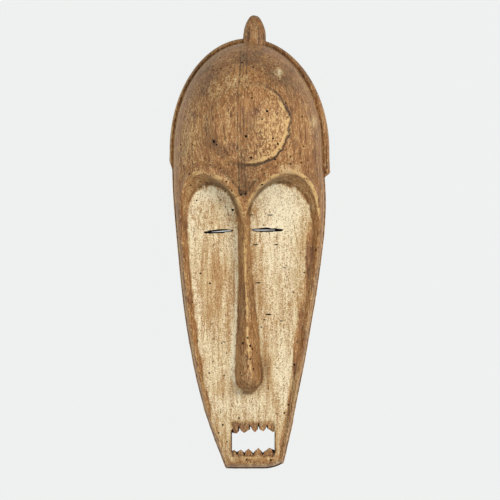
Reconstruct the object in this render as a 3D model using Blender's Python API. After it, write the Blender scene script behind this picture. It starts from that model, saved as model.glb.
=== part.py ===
"""A long carved wooden face mask, lying on its back rim with the face up.

+X is to the viewer's right, +Y runs up the face to the crown and +Z comes out of the face.
The origin is on the ground, under the middle of the mask. All sizes are metres.
"""

import functools
import math

import bmesh
import bpy
import numpy as np

# Plan of the block: where the chin, the head's arch, the crown and the knob come
CHIN_Y = -0.273
ARCH_Y = 0.111
CROWN_Y = 0.241
KNOB_TIP_Y = 0.275
ARCH_RX = 0.0895
ARCH_RY = CROWN_Y - ARCH_Y
CHIN_SHOULDER = 0.008
CHIN_CORNER_LIFT = 0.0055
CHIN_CORNER_REACH = 0.040
CHIN_CORNER_START_X = 0.014
CHIN_CORNER_SPAN = 0.024

# Side wall, back rim and hollow
SIDE_BULGE = 0.002
SIDE_FOOT_STEP = 0.0008
SIDE_FOOT_SHARE = 0.4
SIDE_STEPS = (0.0008, 0.0012, 0.0018, SIDE_BULGE)
SIDE_DROPS = (0.0030, 0.0036, 0.0090, 0.0145)
RIM_INSET = 0.003
HOLLOW_END_Y = -0.262
HOLLOW_END_ROUND = 0.012
HOLLOW_EDGE_HEIGHT = 0.026
HOLLOW_FOOT_STEP = 0.0008
HOLLOW_FOOT_HEIGHT = 0.012
HOLLOW_DEEP_BELOW_RIM = 0.012

# Band that runs round the head behind the forehead
BAND_WIDTH_CROWN = 0.0058
BAND_WIDTH_LEFT = 0.0055
BAND_WIDTH_RIGHT = 0.0092
BAND_EDGE = 0.0015
BAND_END_LEFT_Y = 0.086
BAND_END_LEFT_EASE = 0.014
BAND_END_RIGHT_Y = 0.077
BAND_END_RIGHT_EASE = 0.008

# Knob on the crown
KNOB_X = 0.0058
KNOB_Z = 0.058
KNOB_RADII = (0.0142, 0.0317, 0.0115)
KNOB_TURN = math.radians(1.5)

# Disc and middle ridge of the forehead
DISC_X = -0.001
DISC_Y = 0.142
DISC_RADIUS = 0.0485
DISC_RISE = 0.0045
DISC_SOFT_EDGE = 0.016
DISC_SHARP_EDGE = 0.003
DISC_SHARP_TURN = 0.35
RIDGE_RISE = 0.0012
RIDGE_HALF_WIDTH = 0.0022

# Eye hollows, left then right: the arch of the brow's edge and the arch of the floor within it. Each has its
# top's x, its reach to the left and to the right, its rise, and how full its curve is toward the nose and away.
SPRING_Y = 0.0242
BROW_ARCHES = ((-0.0560, 0.0275, 0.0480, 0.0575, 1.7, 2.8), (0.0470, 0.0535, 0.0360, 0.0590, 1.7, 2.2))
FLOOR_ARCHES = ((-0.0475, 0.0280, 0.0315, 0.0437, 2.2, 2.3), (0.0360, 0.0375, 0.0385, 0.0460, 2.0, 2.1))
BROW_RISE = 0.0024
BROW_CREST = 1.07
BROW_WIDTH = 0.08

# Rim along the cheeks, as shares of the half width: its crest and the bevel from it down to the floor
RIM_LINE = 0.050
RIM_BEVEL = 0.095

# Nose
NOSE_TIP_Y = -0.183
NOSE_ROUND = 0.020
NOSE_TOP_Y = 0.045

# Eye slits: middle, half length, half height and tilt, left then right
EYE_SLITS = (
    ((-0.0365, 0.0127), 0.0175, 0.0023, math.radians(4)),
    ((0.0227, 0.0145), 0.0187, 0.0028, math.radians(0)),
)
SLIT_SIDES = 8
SLIT_BACK_LENGTH_SHARE = 0.9
SLIT_BACK_HEIGHT_SHARE = 0.45

# Heights between which the cutters of the slits and the mouth taper
CUT_FRONT_Z = 0.100
SLIT_BACK_Z = 0.050
MOUTH_BACK_Z = 0.030

# Mouth: the opening's sides, the roots and valleys of its teeth, and each tooth's tip
MOUTH_LEFT = -0.0214
MOUTH_RIGHT = 0.0301
MOUTH_TOP_LEFT_Y = -0.2287
MOUTH_TOP_RIGHT_Y = -0.2289
MOUTH_BOTTOM_RIGHT_Y = -0.2539
MOUTH_BOTTOM_LEFT_Y = -0.2545
UPPER_ROOT_Y = -0.2235
UPPER_VALLEY_Y = -0.2268
LOWER_ROOT_Y = -0.2595
LOWER_VALLEY_Y = -0.2562
UPPER_TIPS = ((-0.0157, -0.2317), (-0.0069, -0.2311), (0.0063, -0.2303), (0.0165, -0.2293), (0.0280, -0.2299))
LOWER_TIPS = ((0.0237, -0.2499), (0.0100, -0.2496), (-0.0013, -0.2508), (-0.0111, -0.2519), (-0.0188, -0.2535))

# Fineness of the faceted solid
COLUMNS = 36
NOSE_COLUMNS = 8
ROWS_BELOW_ARCH = 59
ROWS_IN_ARCH = 14
HOLLOW_COLUMNS = 12
HOLLOW_ROWS_BELOW_ARCH = 16
HOLLOW_ROWS_IN_ARCH = 6
DOME_TURN = 1.2
EDGE_CROWDING = 1.3
SNAP_ACROSS = 0.0040
SNAP_UP = 0.0020
SNAP_AT_STRIP = 0.24
SNAP_PER_SPREAD = 10.0
SLIVER_AREA = 8e-7
CORNER_EASE = 0.007


def smooth(t):
    """0 below 0, 1 above 1, and an S between them."""
    t = np.clip(t, 0.0, 1.0)
    return t * t * (3.0 - 2.0 * t)


def smooth_through(*points):
    """A smooth function through (station, value) points, level past both ends."""
    station, value = np.array(points, float).T
    slope = np.gradient(value, station)

    def read(at):
        at = np.clip(at, station[0], station[-1])
        i = np.clip(np.searchsorted(station, at) - 1, 0, len(station) - 2)
        span = station[i + 1] - station[i]
        t = (at - station[i]) / span
        rise = value[i] + (value[i + 1] - value[i]) * t * t * (3.0 - 2.0 * t)
        return rise + span * t * (1.0 - t) * (slope[i] * (1.0 - t) - slope[i + 1] * t)

    return read


# Plan outline at the front shoulder, and how far its middle and the nose line lean sideways
half_width = smooth_through(
    (CHIN_Y, 0.0335), (-0.252, 0.0398), (-0.230, 0.0462), (-0.172, 0.0605), (-0.114, 0.0717),
    (-0.027, 0.0840), (0.053, 0.0905), (ARCH_Y, ARCH_RX),
)
plan_middle = smooth_through(
    (CHIN_Y, 0.0060), (-0.250, 0.0037), (-0.200, 0.0000), (-0.120, -0.0012), (0.050, 0.0000), (0.090, -0.0020),
)
nose_line = smooth_through(
    (NOSE_TIP_Y, -0.0008), (-0.131, -0.0021), (-0.100, -0.0029), (-0.040, -0.0056), (0.000, -0.0067),
    (0.029, -0.0068), (0.063, -0.0081), (0.160, -0.0104), (0.220, -0.0062),
)
nose_half_width = smooth_through(
    (NOSE_TIP_Y, 0.0150), (-0.165, 0.0159), (-0.153, 0.0160), (-0.131, 0.0146), (-0.100, 0.0122),
    (-0.070, 0.0102), (-0.040, 0.0084), (0.000, 0.0074), (0.029, 0.0073),
)
# How much wider than the nose the middle strip of the grid is, so that its sides follow the brows' lower ends
strip_spread = smooth_through(
    (0.0420, 0.0), (0.0460, 0.0), (0.0500, 0.0019), (0.0540, 0.0045), (0.0580, 0.0075), (0.0620, 0.0105),
    (0.0660, 0.0120), (0.0700, 0.0125),
)
nose_fullness = smooth_through((NOSE_TIP_Y, 2.6), (-0.150, 2.0), (-0.100, 1.5), (0.000, 1.3))

# Heights along the middle: the uncarved block, its shoulder, the carved floor and the nose's ridge
block_height = smooth_through(
    (CHIN_Y, 0.080), (-0.200, 0.084), (-0.080, 0.087), (0.000, 0.093), (0.035, 0.102), (0.070, 0.121),
    (0.100, 0.137), (DISC_Y, 0.149), (0.190, 0.152),
)
shoulder_height = smooth_through(
    (CHIN_Y, 0.054), (-0.100, 0.058), (0.060, 0.066), (ARCH_Y, 0.066), (CROWN_Y, 0.062),
)
squareness = smooth_through((-0.060, 18.0), (-0.010, 15.0), (0.040, 6.0), (0.080, 2.9), (ARCH_Y, 2.3))
cornering = smooth_through((-0.060, 4.0), (0.000, 3.6), (0.050, 2.6), (ARCH_Y, 2.1))
floor_height = smooth_through(
    (CHIN_Y, 0.078), (-0.235, 0.080), (-0.200, 0.077), (-0.140, 0.073), (-0.060, 0.072), (0.030, 0.078),
    (0.070, 0.088),
)
floor_dish = smooth_through((-0.240, -0.006), (-0.200, -0.003), (-0.120, 0.005), (0.030, 0.006))
nose_ridge = smooth_through((-0.165, 0.100), (-0.100, 0.093), (-0.040, 0.093), (0.010, 0.097), (0.040, 0.104))
wall = smooth_through((HOLLOW_END_Y, 0.0095), (-0.210, 0.0125), (0.000, 0.013))
hollow_roof = smooth_through(
    (HOLLOW_END_Y, 0.060), (-0.200, 0.063), (-0.120, 0.058), (0.000, 0.059), (0.040, 0.064), (0.070, 0.080),
    (0.105, 0.115), (DISC_Y, 0.130), (0.190, 0.130),
)

# How the rows of the grid are spread along the face: closest at the chin, the nose's tip and the brows
row_place = smooth_through(
    (0.00, CHIN_Y), (0.034, -0.269), (0.068, -0.261), (0.14, -0.225), (0.20, -0.192), (0.29, -0.155),
    (0.39, -0.068), (0.46, -0.018), (0.52, 0.008), (0.60, 0.028), (0.80, 0.070), (1.00, ARCH_Y),
)


def corner_lift(x):
    """How far the chin's lower edge rounds up toward its right corner."""
    return CHIN_CORNER_LIFT * np.clip((x - CHIN_CORNER_START_X) / CHIN_CORNER_SPAN, 0.0, 1.0) ** 2.5


def lifted(x, y):
    """Moves a point of a square-cornered chin to its place in the rounded one."""
    share = np.clip(1.0 - (y - CHIN_Y) / CHIN_CORNER_REACH, 0.0, 1.0)
    return y + corner_lift(x) * share


def unlifted(x, y):
    """The opposite of lifted."""
    lift = corner_lift(x)
    before = CHIN_Y + (y - CHIN_Y - lift) / (1.0 - lift / CHIN_CORNER_REACH)
    return np.where(before < CHIN_Y + CHIN_CORNER_REACH, before, y)


def place_in_plan(across, up, rows_below, rows_above, inset=None, low_end=None):
    """Moves grid coordinates, across in -1..1 and up in 0..1, to x, y inside the mask's outline.

    Rows run straight below the arch and bend round with the head within it.
    """
    row = up * (rows_below + rows_above)
    below = row_place(row / rows_below)
    if low_end is not None:
        below = low_end + (ARCH_Y - low_end) * np.clip(row / rows_below, 0.0, 1.0)
    within = np.clip((row - rows_below) / rows_above, 0.0, 1.0)
    inset = inset(below) if inset else 0.0
    width = half_width(below) - inset

    lean = (nose_line(below) - plan_middle(below)) / width
    nose = (nose_half_width(below) + strip_spread(below)) / width
    nose_share = NOSE_COLUMNS / COLUMNS
    off = np.abs(across)
    beyond = np.clip((off - nose_share) / (1.0 - nose_share), 0.0, 1.0)
    outward = nose * np.minimum(off / nose_share, 1.0)
    outward += (1.0 - nose) * (1.0 - (1.0 - beyond) ** EDGE_CROWDING)
    target = np.sign(across) * outward + lean * (1.0 - outward)

    bend = math.sin(DOME_TURN)
    straight = np.arcsin(np.clip(target, -1.0, 1.0) * bend) / DOME_TURN
    side = straight * np.sqrt(1.0 - within**2 / 2.0)
    rise = within * np.sqrt(1.0 - straight**2 / 2.0)
    reach = np.maximum(np.hypot(side, rise), 1e-9)
    swell = np.sin(DOME_TURN * reach) / bend / reach
    return plan_middle(below) + width * side * swell, below + (ARCH_RY - inset) * rise * swell


def drawn_to_edges(x, y, across, up):
    """Sets the grid points near the edges of the brows and the disc on the nearest of them, to keep these crisp.

    A point moves by less than across sideways and less than up along the face.
    """
    curves = []
    for side in (0, 1):
        for arch in (FLOOR_ARCHES[side], BROW_ARCHES[side]):
            arch_at = functools.partial(arch_reach, arch=arch, side=side)
            curves.append((arch[0], SPRING_Y, arch_at))
    curves.append((DISC_X, DISC_Y, lambda u, v: np.hypot(u - DISC_X, v - DISC_Y) / DISC_RADIUS))
    off_strip = np.abs(x - nose_line(y)) / (nose_half_width(y) + strip_spread(y))
    least = SNAP_AT_STRIP + SNAP_PER_SPREAD * strip_spread(y)
    by_strip = least + (1.0 - least) * smooth(2.0 * off_strip - 2.0)
    side = across * (1.0 - share_to_edge(x, y)) ** 0.25 * by_strip + 1e-6
    nearest, to_x, to_y = np.ones_like(x), x, y
    for middle_x, middle_y, reach_at in curves:
        outward = 1.0 / np.maximum(reach_at(x, y), 1e-9) - 1.0
        move_x, move_y = (x - middle_x) * outward, (y - middle_y) * outward
        share = np.maximum(np.abs(move_x) / side, np.abs(move_y) / up)
        nearer = (share < nearest) & ((y > SPRING_Y - up) | (middle_y != SPRING_Y))
        nearest = np.where(nearer, share, nearest)
        to_x, to_y = np.where(nearer, x + move_x, to_x), np.where(nearer, y + move_y, to_y)
    return to_x, to_y


def share_to_edge(x, y):
    """0 on the mask's middle line and 1 at its plan outline, for a point with its chin unlifted."""
    side = (x - plan_middle(y)) / half_width(y)
    return np.clip(np.hypot(side, np.maximum(y - ARCH_Y, 0.0) / ARCH_RY), 0.0, 1.0)


def arch_reach(x, y, arch, side):
    """1 on an arch's line, less inside it. The arch's legs run straight down from its springing."""
    top_x, to_left, to_right, rise, toward_nose, away = arch
    off = x - top_x
    out = np.abs(off) / np.where(off < 0.0, to_left, to_right)
    over = np.maximum(y - SPRING_Y, 0.0) / rise
    fullness = np.where((off > 0.0) == (side == 0), toward_nose, away)
    return (out**fullness + over**fullness) ** (1.0 / fullness)


def hollowing(x, y, side):
    """0 outside one eye hollow and 1 on its floor, through the slope under the brow."""
    to_brow = 1.0 - arch_reach(x, y, BROW_ARCHES[side], side)
    past_floor = arch_reach(x, y, FLOOR_ARCHES[side], side) - 1.0
    return np.clip(to_brow / np.maximum(to_brow + np.maximum(past_floor, 0.0), 1e-9), 0.0, 1.0)


def floor_share(x, y):
    """How far the surface has gone from the block down to the carved floor, 0 to 1."""
    in_arches = np.maximum(hollowing(x, y, 0), hollowing(x, y, 1))
    from_rim = np.clip((1.0 - share_to_edge(x, y) - RIM_LINE) / RIM_BEVEL, 0.0, 1.0)
    lower = smooth((SPRING_Y - y) / 0.030)
    return np.sin(math.pi / 2.0 * (in_arches + (from_rim - in_arches) * lower))


def brow_band(x, y):
    """The raised band along both brows."""
    reach = np.minimum(arch_reach(x, y, BROW_ARCHES[0], 0), arch_reach(x, y, BROW_ARCHES[1], 1))
    band = np.exp(-(((reach - BROW_CREST) / BROW_WIDTH) ** 2))
    return BROW_RISE * band * smooth((y - SPRING_Y + 0.012) / 0.030)


def forehead_disc(x, y):
    """The round boss on the forehead: a soft edge at its left and a sharp step at its right."""
    reach = np.hypot(x - DISC_X, y - DISC_Y)
    turn = np.arctan2(y - DISC_Y, x - DISC_X)
    sharpness = 0.5 + 0.5 * np.cos(turn + DISC_SHARP_TURN)
    edge = DISC_SOFT_EDGE + (DISC_SHARP_EDGE - DISC_SOFT_EDGE) * sharpness
    return DISC_RISE * smooth((DISC_RADIUS - reach) / edge + 0.5)


def middle_ridge(x, y):
    """The fine ridge down the forehead."""
    off = np.abs(x - nose_line(y))
    on_forehead = smooth((y - 0.045) / 0.015) * smooth((0.232 - y) / 0.010)
    return RIDGE_RISE * np.exp(-((off / RIDGE_HALF_WIDTH) ** 2)) * on_forehead


def front_height(x, y):
    """Height of the carved front over a point of the plan."""
    y = unlifted(x, y)
    edge = share_to_edge(x, y)
    shoulder = shoulder_height(y)
    section = (1.0 - edge ** squareness(y)) ** (1.0 / cornering(y))
    block = shoulder + (block_height(y) - shoulder) * section
    block += forehead_disc(x, y) + middle_ridge(x, y) + brow_band(x, y)

    floor = floor_height(y) + floor_dish(y) * edge**2
    carved = block + (floor - block) * floor_share(x, y)

    past_round = np.clip((NOSE_TIP_Y + NOSE_ROUND - y) / NOSE_ROUND, 0.0, 1.0)
    narrowing = np.maximum(np.sqrt(1.0 - past_round**2), 1e-3)
    off = np.abs(x - nose_line(y)) / (nose_half_width(y) * narrowing)
    crest = (1.0 - np.clip(off, 0.0, 1.0) ** nose_fullness(y)) * narrowing**1.1
    nose = floor + (nose_ridge(y) - floor) * crest
    on_nose = (off < 1.0) & (y > NOSE_TIP_Y) & (y < NOSE_TOP_Y)
    carved = np.where(on_nose, np.maximum(carved, nose), carved)

    from_chin = np.clip((y - CHIN_Y) / CHIN_SHOULDER, 0.0, 1.0)
    chin_section = (1.0 - (1.0 - from_chin) ** 2.4) ** (1.0 / 2.1)
    return shoulder + (carved - shoulder) * chin_section


def hollow_inset(y):
    return RIM_INSET + wall(y)


def hollow_height(x, y):
    """Height of the hollow's smooth roof, inside the mask."""
    inset = hollow_inset(y)
    side = (x - plan_middle(y)) / (half_width(y) - inset)
    edge = np.hypot(side, np.maximum(y - ARCH_Y, 0.0) / (ARCH_RY - inset))
    section = (1.0 - np.clip(edge, 0.0, 1.0) ** 2.6) ** 0.5
    from_end = np.clip((y - HOLLOW_END_Y) / HOLLOW_END_ROUND, 0.0, 1.0)
    end_section = (1.0 - (1.0 - from_end) ** 2.4) ** 0.5
    return HOLLOW_EDGE_HEIGHT + (hollow_roof(y) - HOLLOW_EDGE_HEIGHT) * section * end_section


def band_share(x, y):
    """1 where the head's band stands out from the side and 0 below its two ends."""
    left = smooth((y - BAND_END_LEFT_Y) / BAND_END_LEFT_EASE)
    right = smooth((y - BAND_END_RIGHT_Y) / BAND_END_RIGHT_EASE)
    return np.where(x < 0.0, left, right)


def band_width(x, y):
    """How far the head's band stands out: least at the crown and most at the right."""
    side = np.clip(x / ARCH_RX, -1.0, 1.0)
    widest = np.where(x < 0.0, BAND_WIDTH_LEFT, BAND_WIDTH_RIGHT)
    return BAND_WIDTH_CROWN + (widest - BAND_WIDTH_CROWN) * side**2


def side_rings(x, y):
    """Outward step and height of each ring from the front shoulder down to the back rim."""
    shoulder = shoulder_height(y)
    band = band_share(x, y)
    wide = band_width(x, y)
    plain_out = (*SIDE_STEPS, SIDE_FOOT_STEP, -RIM_INSET)
    band_out = (0.0, wide - BAND_EDGE, wide, 0.0, SIDE_FOOT_STEP, -RIM_INSET)
    heights = [shoulder - drop for drop in SIDE_DROPS] + [shoulder * SIDE_FOOT_SHARE, np.zeros_like(shoulder)]
    for plain, on_band, height in zip(plain_out, band_out, heights):
        yield plain + (on_band - plain) * band, height


def new_object(name, mesh, collection):
    obj = bpy.data.objects.new(name, mesh)
    collection.objects.link(obj)
    return obj


def split_squares(bm, height):
    """Splits each square of a grid along the diagonal that lies closer to height(x, y) and leaves no sliver."""
    squares = list(bm.faces)
    corners = np.array([[v.co for v in face.verts] for face in squares])
    gaps = []
    for start in (0, 1):
        begin, right, end, left = (corners[:, (start + i) % 4] for i in range(4))
        along = end - begin
        area_left = along[:, 0] * (left - begin)[:, 1] - along[:, 1] * (left - begin)[:, 0]
        area_right = along[:, 1] * (right - begin)[:, 0] - along[:, 0] * (right - begin)[:, 1]
        middle = (begin + end) / 2.0
        gap = np.abs(height(middle[:, 0], middle[:, 1]) - middle[:, 2])
        gaps.append(gap + (np.minimum(area_left, area_right) < SLIVER_AREA))
    first_closer = gaps[0] < gaps[1]
    for closer, method in ((first_closer, "FIXED"), (~first_closer, "ALTERNATE")):
        faces = [face for face, is_closer in zip(squares, closer) if is_closer]
        bmesh.ops.triangulate(bm, faces=faces, quad_method=method)


def shaped_grid(columns, rows_below, rows_above, height, **plan_options):
    """A grid laid inside the outline and raised to height(x, y)."""
    bm = bmesh.new()
    bmesh.ops.create_grid(bm, x_segments=columns, y_segments=rows_below + rows_above, size=1.0)
    flat = np.array([v.co for v in bm.verts])
    x, y = place_in_plan(flat[:, 0], (flat[:, 1] + 1.0) / 2.0, rows_below, rows_above, **plan_options)
    if "low_end" not in plan_options:
        y = lifted(x, y)
        inside = (np.abs(flat[:, 0]) < 0.999) & (np.abs(flat[:, 1]) < 0.999)
        crisp_x, crisp_y = drawn_to_edges(x, y, SNAP_ACROSS, SNAP_UP)
        x, y = np.where(inside, crisp_x, x), np.where(inside, crisp_y, y)
    for vert, place in zip(bm.verts, np.column_stack((x, y, height(x, y)))):
        vert.co = place
    split_squares(bm, height)
    return bm


def boundary_loop(bm):
    """The open edge's vertices in order, counter-clockwise from above."""
    start = next(v for v in bm.verts if v.is_boundary)
    loop, last, here = [start], None, start
    while True:
        ways = [e.other_vert(here) for e in here.link_edges if e.is_boundary]
        ahead = next(v for v in ways if v is not last)
        if ahead is start:
            break
        loop.append(ahead)
        last, here = here, ahead
    places = np.array([v.co for v in loop])
    ahead = np.roll(places, -1, axis=0)
    area = np.sum(places[:, 0] * ahead[:, 1] - ahead[:, 0] * places[:, 1])
    return loop if area > 0 else loop[::-1]


def eased_normals(loop):
    """Outward directions along a closed loop, turning gradually past its corners."""
    ahead = np.roll(loop, -1, axis=0) - loop
    length = np.linalg.norm(ahead, axis=1)
    middle = np.cumsum(length) - length / 2.0
    station = np.cumsum(length) - length
    gap = np.abs(station[:, None] - middle[None, :])
    gap = np.minimum(gap, length.sum() - gap)
    weight = np.exp(-((gap / CORNER_EASE) ** 2))
    outward = weight @ np.column_stack((ahead[:, 1], -ahead[:, 0]))
    return outward / np.linalg.norm(outward, axis=1)[:, None]


def drop_walls(bm, rings):
    """Extrudes the open edge once for each (outward step, height) ring and closes the last one."""
    loop = boundary_loop(bm)
    edge = np.array([v.co for v in loop])
    outward = eased_normals(edge[:, :2])
    for step, height in rings(edge[:, 0], edge[:, 1]):
        open_edges = [e for e in bm.edges if e.is_boundary]
        made = bmesh.ops.extrude_edge_only(bm, edges=open_edges)["geom"]
        fresh = {v for v in made if isinstance(v, bmesh.types.BMVert)}
        loop = [next(e.other_vert(v) for e in v.link_edges if e.other_vert(v) in fresh) for v in loop]
        reach = edge[:, :2] + outward * np.reshape(step, (-1, 1))
        for vert, (x, y), z in zip(loop, reach, np.broadcast_to(height, len(loop))):
            vert.co = (x, y, z)
    bmesh.ops.holes_fill(bm, edges=[e for e in bm.edges if e.is_boundary], sides=0)
    bmesh.ops.recalc_face_normals(bm, faces=bm.faces)


def finished_mesh(bm, name):
    mesh = bpy.data.meshes.new(name)
    bm.to_mesh(mesh)
    bm.free()
    return mesh


def mask_block():
    """The outside of the mask as a full solid: carved front, side wall and flat back rim."""
    bm = shaped_grid(COLUMNS, ROWS_BELOW_ARCH, ROWS_IN_ARCH, front_height)
    drop_walls(bm, side_rings)
    return finished_mesh(bm, "mask")


def hollow_form():
    """What is scooped out behind the face, run past the back rim."""
    bm = shaped_grid(
        HOLLOW_COLUMNS, HOLLOW_ROWS_BELOW_ARCH, HOLLOW_ROWS_IN_ARCH, hollow_height,
        inset=hollow_inset, low_end=HOLLOW_END_Y,
    )
    drop_walls(bm, lambda x, y: [(HOLLOW_FOOT_STEP, HOLLOW_FOOT_HEIGHT), (0.0, -HOLLOW_DEEP_BELOW_RIM)])
    return finished_mesh(bm, "hollow")


def tapered_prism(front, back, front_z, back_z, name):
    """A closed cutter between two outlines with the same number of points."""
    bm = bmesh.new()
    base = bm.faces.new([bm.verts.new((x, y, back_z)) for x, y in back])
    top = bmesh.ops.extrude_face_region(bm, geom=[base])["geom"]
    raised = [v for v in top if isinstance(v, bmesh.types.BMVert)]
    for vert in raised:
        x, y = front[next(i for i, p in enumerate(back) if math.dist(p, vert.co[:2]) < 1e-7)]
        vert.co = (x, y, front_z)
    bmesh.ops.triangulate(bm, faces=[f for f in bm.faces if len(f.verts) == 4])
    bmesh.ops.recalc_face_normals(bm, faces=bm.faces)
    return finished_mesh(bm, name)


def slit_outline(middle, half_length, half_height, tilt):
    """A long narrow ellipse."""
    points = []
    for i in range(2 * SLIT_SIDES):
        turn = math.pi * i / SLIT_SIDES
        along = half_length * math.cos(turn)
        over = half_height * math.sin(turn)
        points.append((
            middle[0] + along * math.cos(tilt) - over * math.sin(tilt),
            middle[1] + along * math.sin(tilt) + over * math.cos(tilt),
        ))
    return points


def eye_slit(middle, half_length, half_height, tilt):
    front = slit_outline(middle, half_length, half_height, tilt)
    half_length *= SLIT_BACK_LENGTH_SHARE
    half_height *= SLIT_BACK_HEIGHT_SHARE
    back = slit_outline(middle, half_length, half_height, tilt)
    return tapered_prism(front, back, CUT_FRONT_Z, SLIT_BACK_Z, "eye_slit")


def tooth_row(tips, valley_y):
    """The zigzag between the first and last tip."""
    points = []
    for i, tip in enumerate(tips):
        points.append(tip)
        if i + 1 < len(tips):
            points.append(((tip[0] + tips[i + 1][0]) / 2.0, valley_y))
    return points


def mouth_outline(upper_valley, lower_valley):
    """The opening between the teeth, clockwise from its upper left corner."""
    return [
        (MOUTH_LEFT, MOUTH_TOP_LEFT_Y), *tooth_row(UPPER_TIPS, upper_valley), (MOUTH_RIGHT, MOUTH_TOP_RIGHT_Y),
        (MOUTH_RIGHT, MOUTH_BOTTOM_RIGHT_Y), *tooth_row(LOWER_TIPS, lower_valley), (MOUTH_LEFT, MOUTH_BOTTOM_LEFT_Y),
    ]


def mouth_form():
    """The mouth's opening. Its notches are cut deeper at the front than at the back."""
    front = mouth_outline(UPPER_ROOT_Y, LOWER_ROOT_Y)
    back = mouth_outline(UPPER_VALLEY_Y, LOWER_VALLEY_Y)
    return tapered_prism(front, back, CUT_FRONT_Z, MOUTH_BACK_Z, "mouth")


def knob(collection):
    """The rounded knob that stands up from the crown."""
    bpy.ops.mesh.primitive_uv_sphere_add(segments=16, ring_count=10, radius=1.0)
    obj = bpy.context.object
    obj.name = "crown_knob"
    obj.scale = KNOB_RADII
    obj.location = (KNOB_X, KNOB_TIP_Y - KNOB_RADII[1], KNOB_Z)
    obj.rotation_euler.z = KNOB_TURN
    bpy.ops.object.transform_apply(location=True, rotation=True, scale=True)
    for user in obj.users_collection:
        user.objects.unlink(obj)
    collection.objects.link(obj)
    return obj


def make_guide(obj):
    obj.hide_render = True
    obj.display_type = "WIRE"
    return obj


def apply_boolean(obj, tool, operation):
    step = obj.modifiers.new(tool.name, "BOOLEAN")
    step.operation = operation
    step.object = tool
    step.solver = "EXACT"


def carved_wood():
    """Light equatorial wood, browned by handling and smoke."""
    material = bpy.data.materials.new("carved_wood")
    material.use_nodes = True
    shader = material.node_tree.nodes["Principled BSDF"]
    shader.inputs["Base Color"].default_value = (0.32, 0.19, 0.098, 1.0)
    shader.inputs["Roughness"].default_value = 0.6
    shader.inputs["Metallic"].default_value = 0.0
    return material


def main():
    for old in list(bpy.data.objects):
        bpy.data.objects.remove(old)
    work = bpy.data.collections.new("face_mask")
    cutters = bpy.data.collections.new("cutters")
    for collection in (work, cutters):
        bpy.context.scene.collection.children.link(collection)

    mask = new_object("mask", mask_block(), work)
    mask.data.materials.append(carved_wood())

    apply_boolean(mask, make_guide(knob(cutters)), "UNION")
    forms = [hollow_form(), mouth_form()]
    forms += [eye_slit(*slit) for slit in EYE_SLITS]
    for form in forms:
        apply_boolean(mask, make_guide(new_object(form.name, form, cutters)), "DIFFERENCE")


main()
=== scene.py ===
import math

import bmesh
import bpy
import numpy as np
from mathutils import Matrix, Vector


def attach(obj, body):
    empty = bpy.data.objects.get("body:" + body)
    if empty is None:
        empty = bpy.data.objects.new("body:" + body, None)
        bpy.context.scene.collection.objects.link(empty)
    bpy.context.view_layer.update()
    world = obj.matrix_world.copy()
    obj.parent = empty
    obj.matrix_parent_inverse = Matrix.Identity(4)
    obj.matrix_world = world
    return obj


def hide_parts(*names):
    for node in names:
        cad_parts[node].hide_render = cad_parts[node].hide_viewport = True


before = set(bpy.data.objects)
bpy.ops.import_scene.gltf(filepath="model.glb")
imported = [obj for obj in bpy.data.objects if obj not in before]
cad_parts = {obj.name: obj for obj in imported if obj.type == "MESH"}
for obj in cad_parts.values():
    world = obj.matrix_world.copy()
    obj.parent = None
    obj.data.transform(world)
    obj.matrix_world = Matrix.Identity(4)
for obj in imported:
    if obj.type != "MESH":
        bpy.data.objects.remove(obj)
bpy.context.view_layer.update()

# Plan of the block: where the chin, the head's arch, the crown and the knob come
CHIN_Y = -0.273
ARCH_Y = 0.111
CROWN_Y = 0.241
KNOB_TIP_Y = 0.275
ARCH_RX = 0.0895
ARCH_RY = CROWN_Y - ARCH_Y
CHIN_SHOULDER = 0.008
CHIN_CORNER_LIFT = 0.0055
CHIN_CORNER_REACH = 0.040
CHIN_CORNER_START_X = 0.014
CHIN_CORNER_SPAN = 0.024

# Side wall, back rim and hollow
SIDE_BULGE = 0.002
RIM_INSET = 0.003
HOLLOW_END_Y = -0.262
HOLLOW_END_ROUND = 0.012
HOLLOW_EDGE_HEIGHT = 0.026
HOLLOW_DEEP_BELOW_RIM = 0.012

# Band that runs round the head behind the forehead
BAND_WIDTH_CROWN = 0.0058
BAND_WIDTH_LEFT = 0.0055
BAND_WIDTH_RIGHT = 0.0092
BAND_END_LEFT_Y = 0.086
BAND_END_LEFT_EASE = 0.014
BAND_END_RIGHT_Y = 0.077
BAND_END_RIGHT_EASE = 0.007

# Knob on the crown
KNOB_X = 0.0058
KNOB_Z = 0.058
KNOB_RADII = (0.0142, 0.0317, 0.0115)
KNOB_CHIP = (0.0085, 0.2745, 0.062)

# Disc on the forehead, and the three grooves that make its fine middle ridge
DISC_X = -0.001
DISC_Y = 0.142
DISC_RADIUS = 0.0485
DISC_RISE = 0.0045
DISC_SHARPEST_TURN = -0.35
DISC_SOFT_EDGE = 0.016
DISC_SHARP_EDGE = 0.0014
DISC_CUT_DEPTH = 0.0009
RIDGE_RISE = 0.0012
RIDGE_HALF_WIDTH = 0.0040
RIDGE_GROOVES = (-0.0046, -0.0008, 0.0030)
GROOVE_HALF_WIDTH = 0.0010
GROOVE_DEPTH = 0.0010

# Eye hollows, left then right: the arch of the brow's edge and the arch of the floor within it. Each has
# its top's x, its reach to the left and to the right, its rise, and how full its curve is toward the nose
# and away from it.
SPRING_Y = 0.0242
BROW_ARCHES = ((-0.0560, 0.0275, 0.0480, 0.0575, 1.7, 2.8), (0.0470, 0.0535, 0.0360, 0.0590, 1.7, 2.2))
FLOOR_ARCHES = ((-0.0475, 0.0280, 0.0315, 0.0437, 2.2, 2.3), (0.0360, 0.0375, 0.0385, 0.0460, 2.0, 2.1))
BROW_RISE = 0.0022
BROW_CREST = 1.055
BROW_WIDTH = 0.055
BROW_GROOVE_AT = 1.19
BROW_GROOVE = 0.0012

# Rim along the cheeks, as shares of the half width: its crest and the bevel from it down to the floor
RIM_LINE = 0.050
RIM_BEVEL = 0.095

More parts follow.
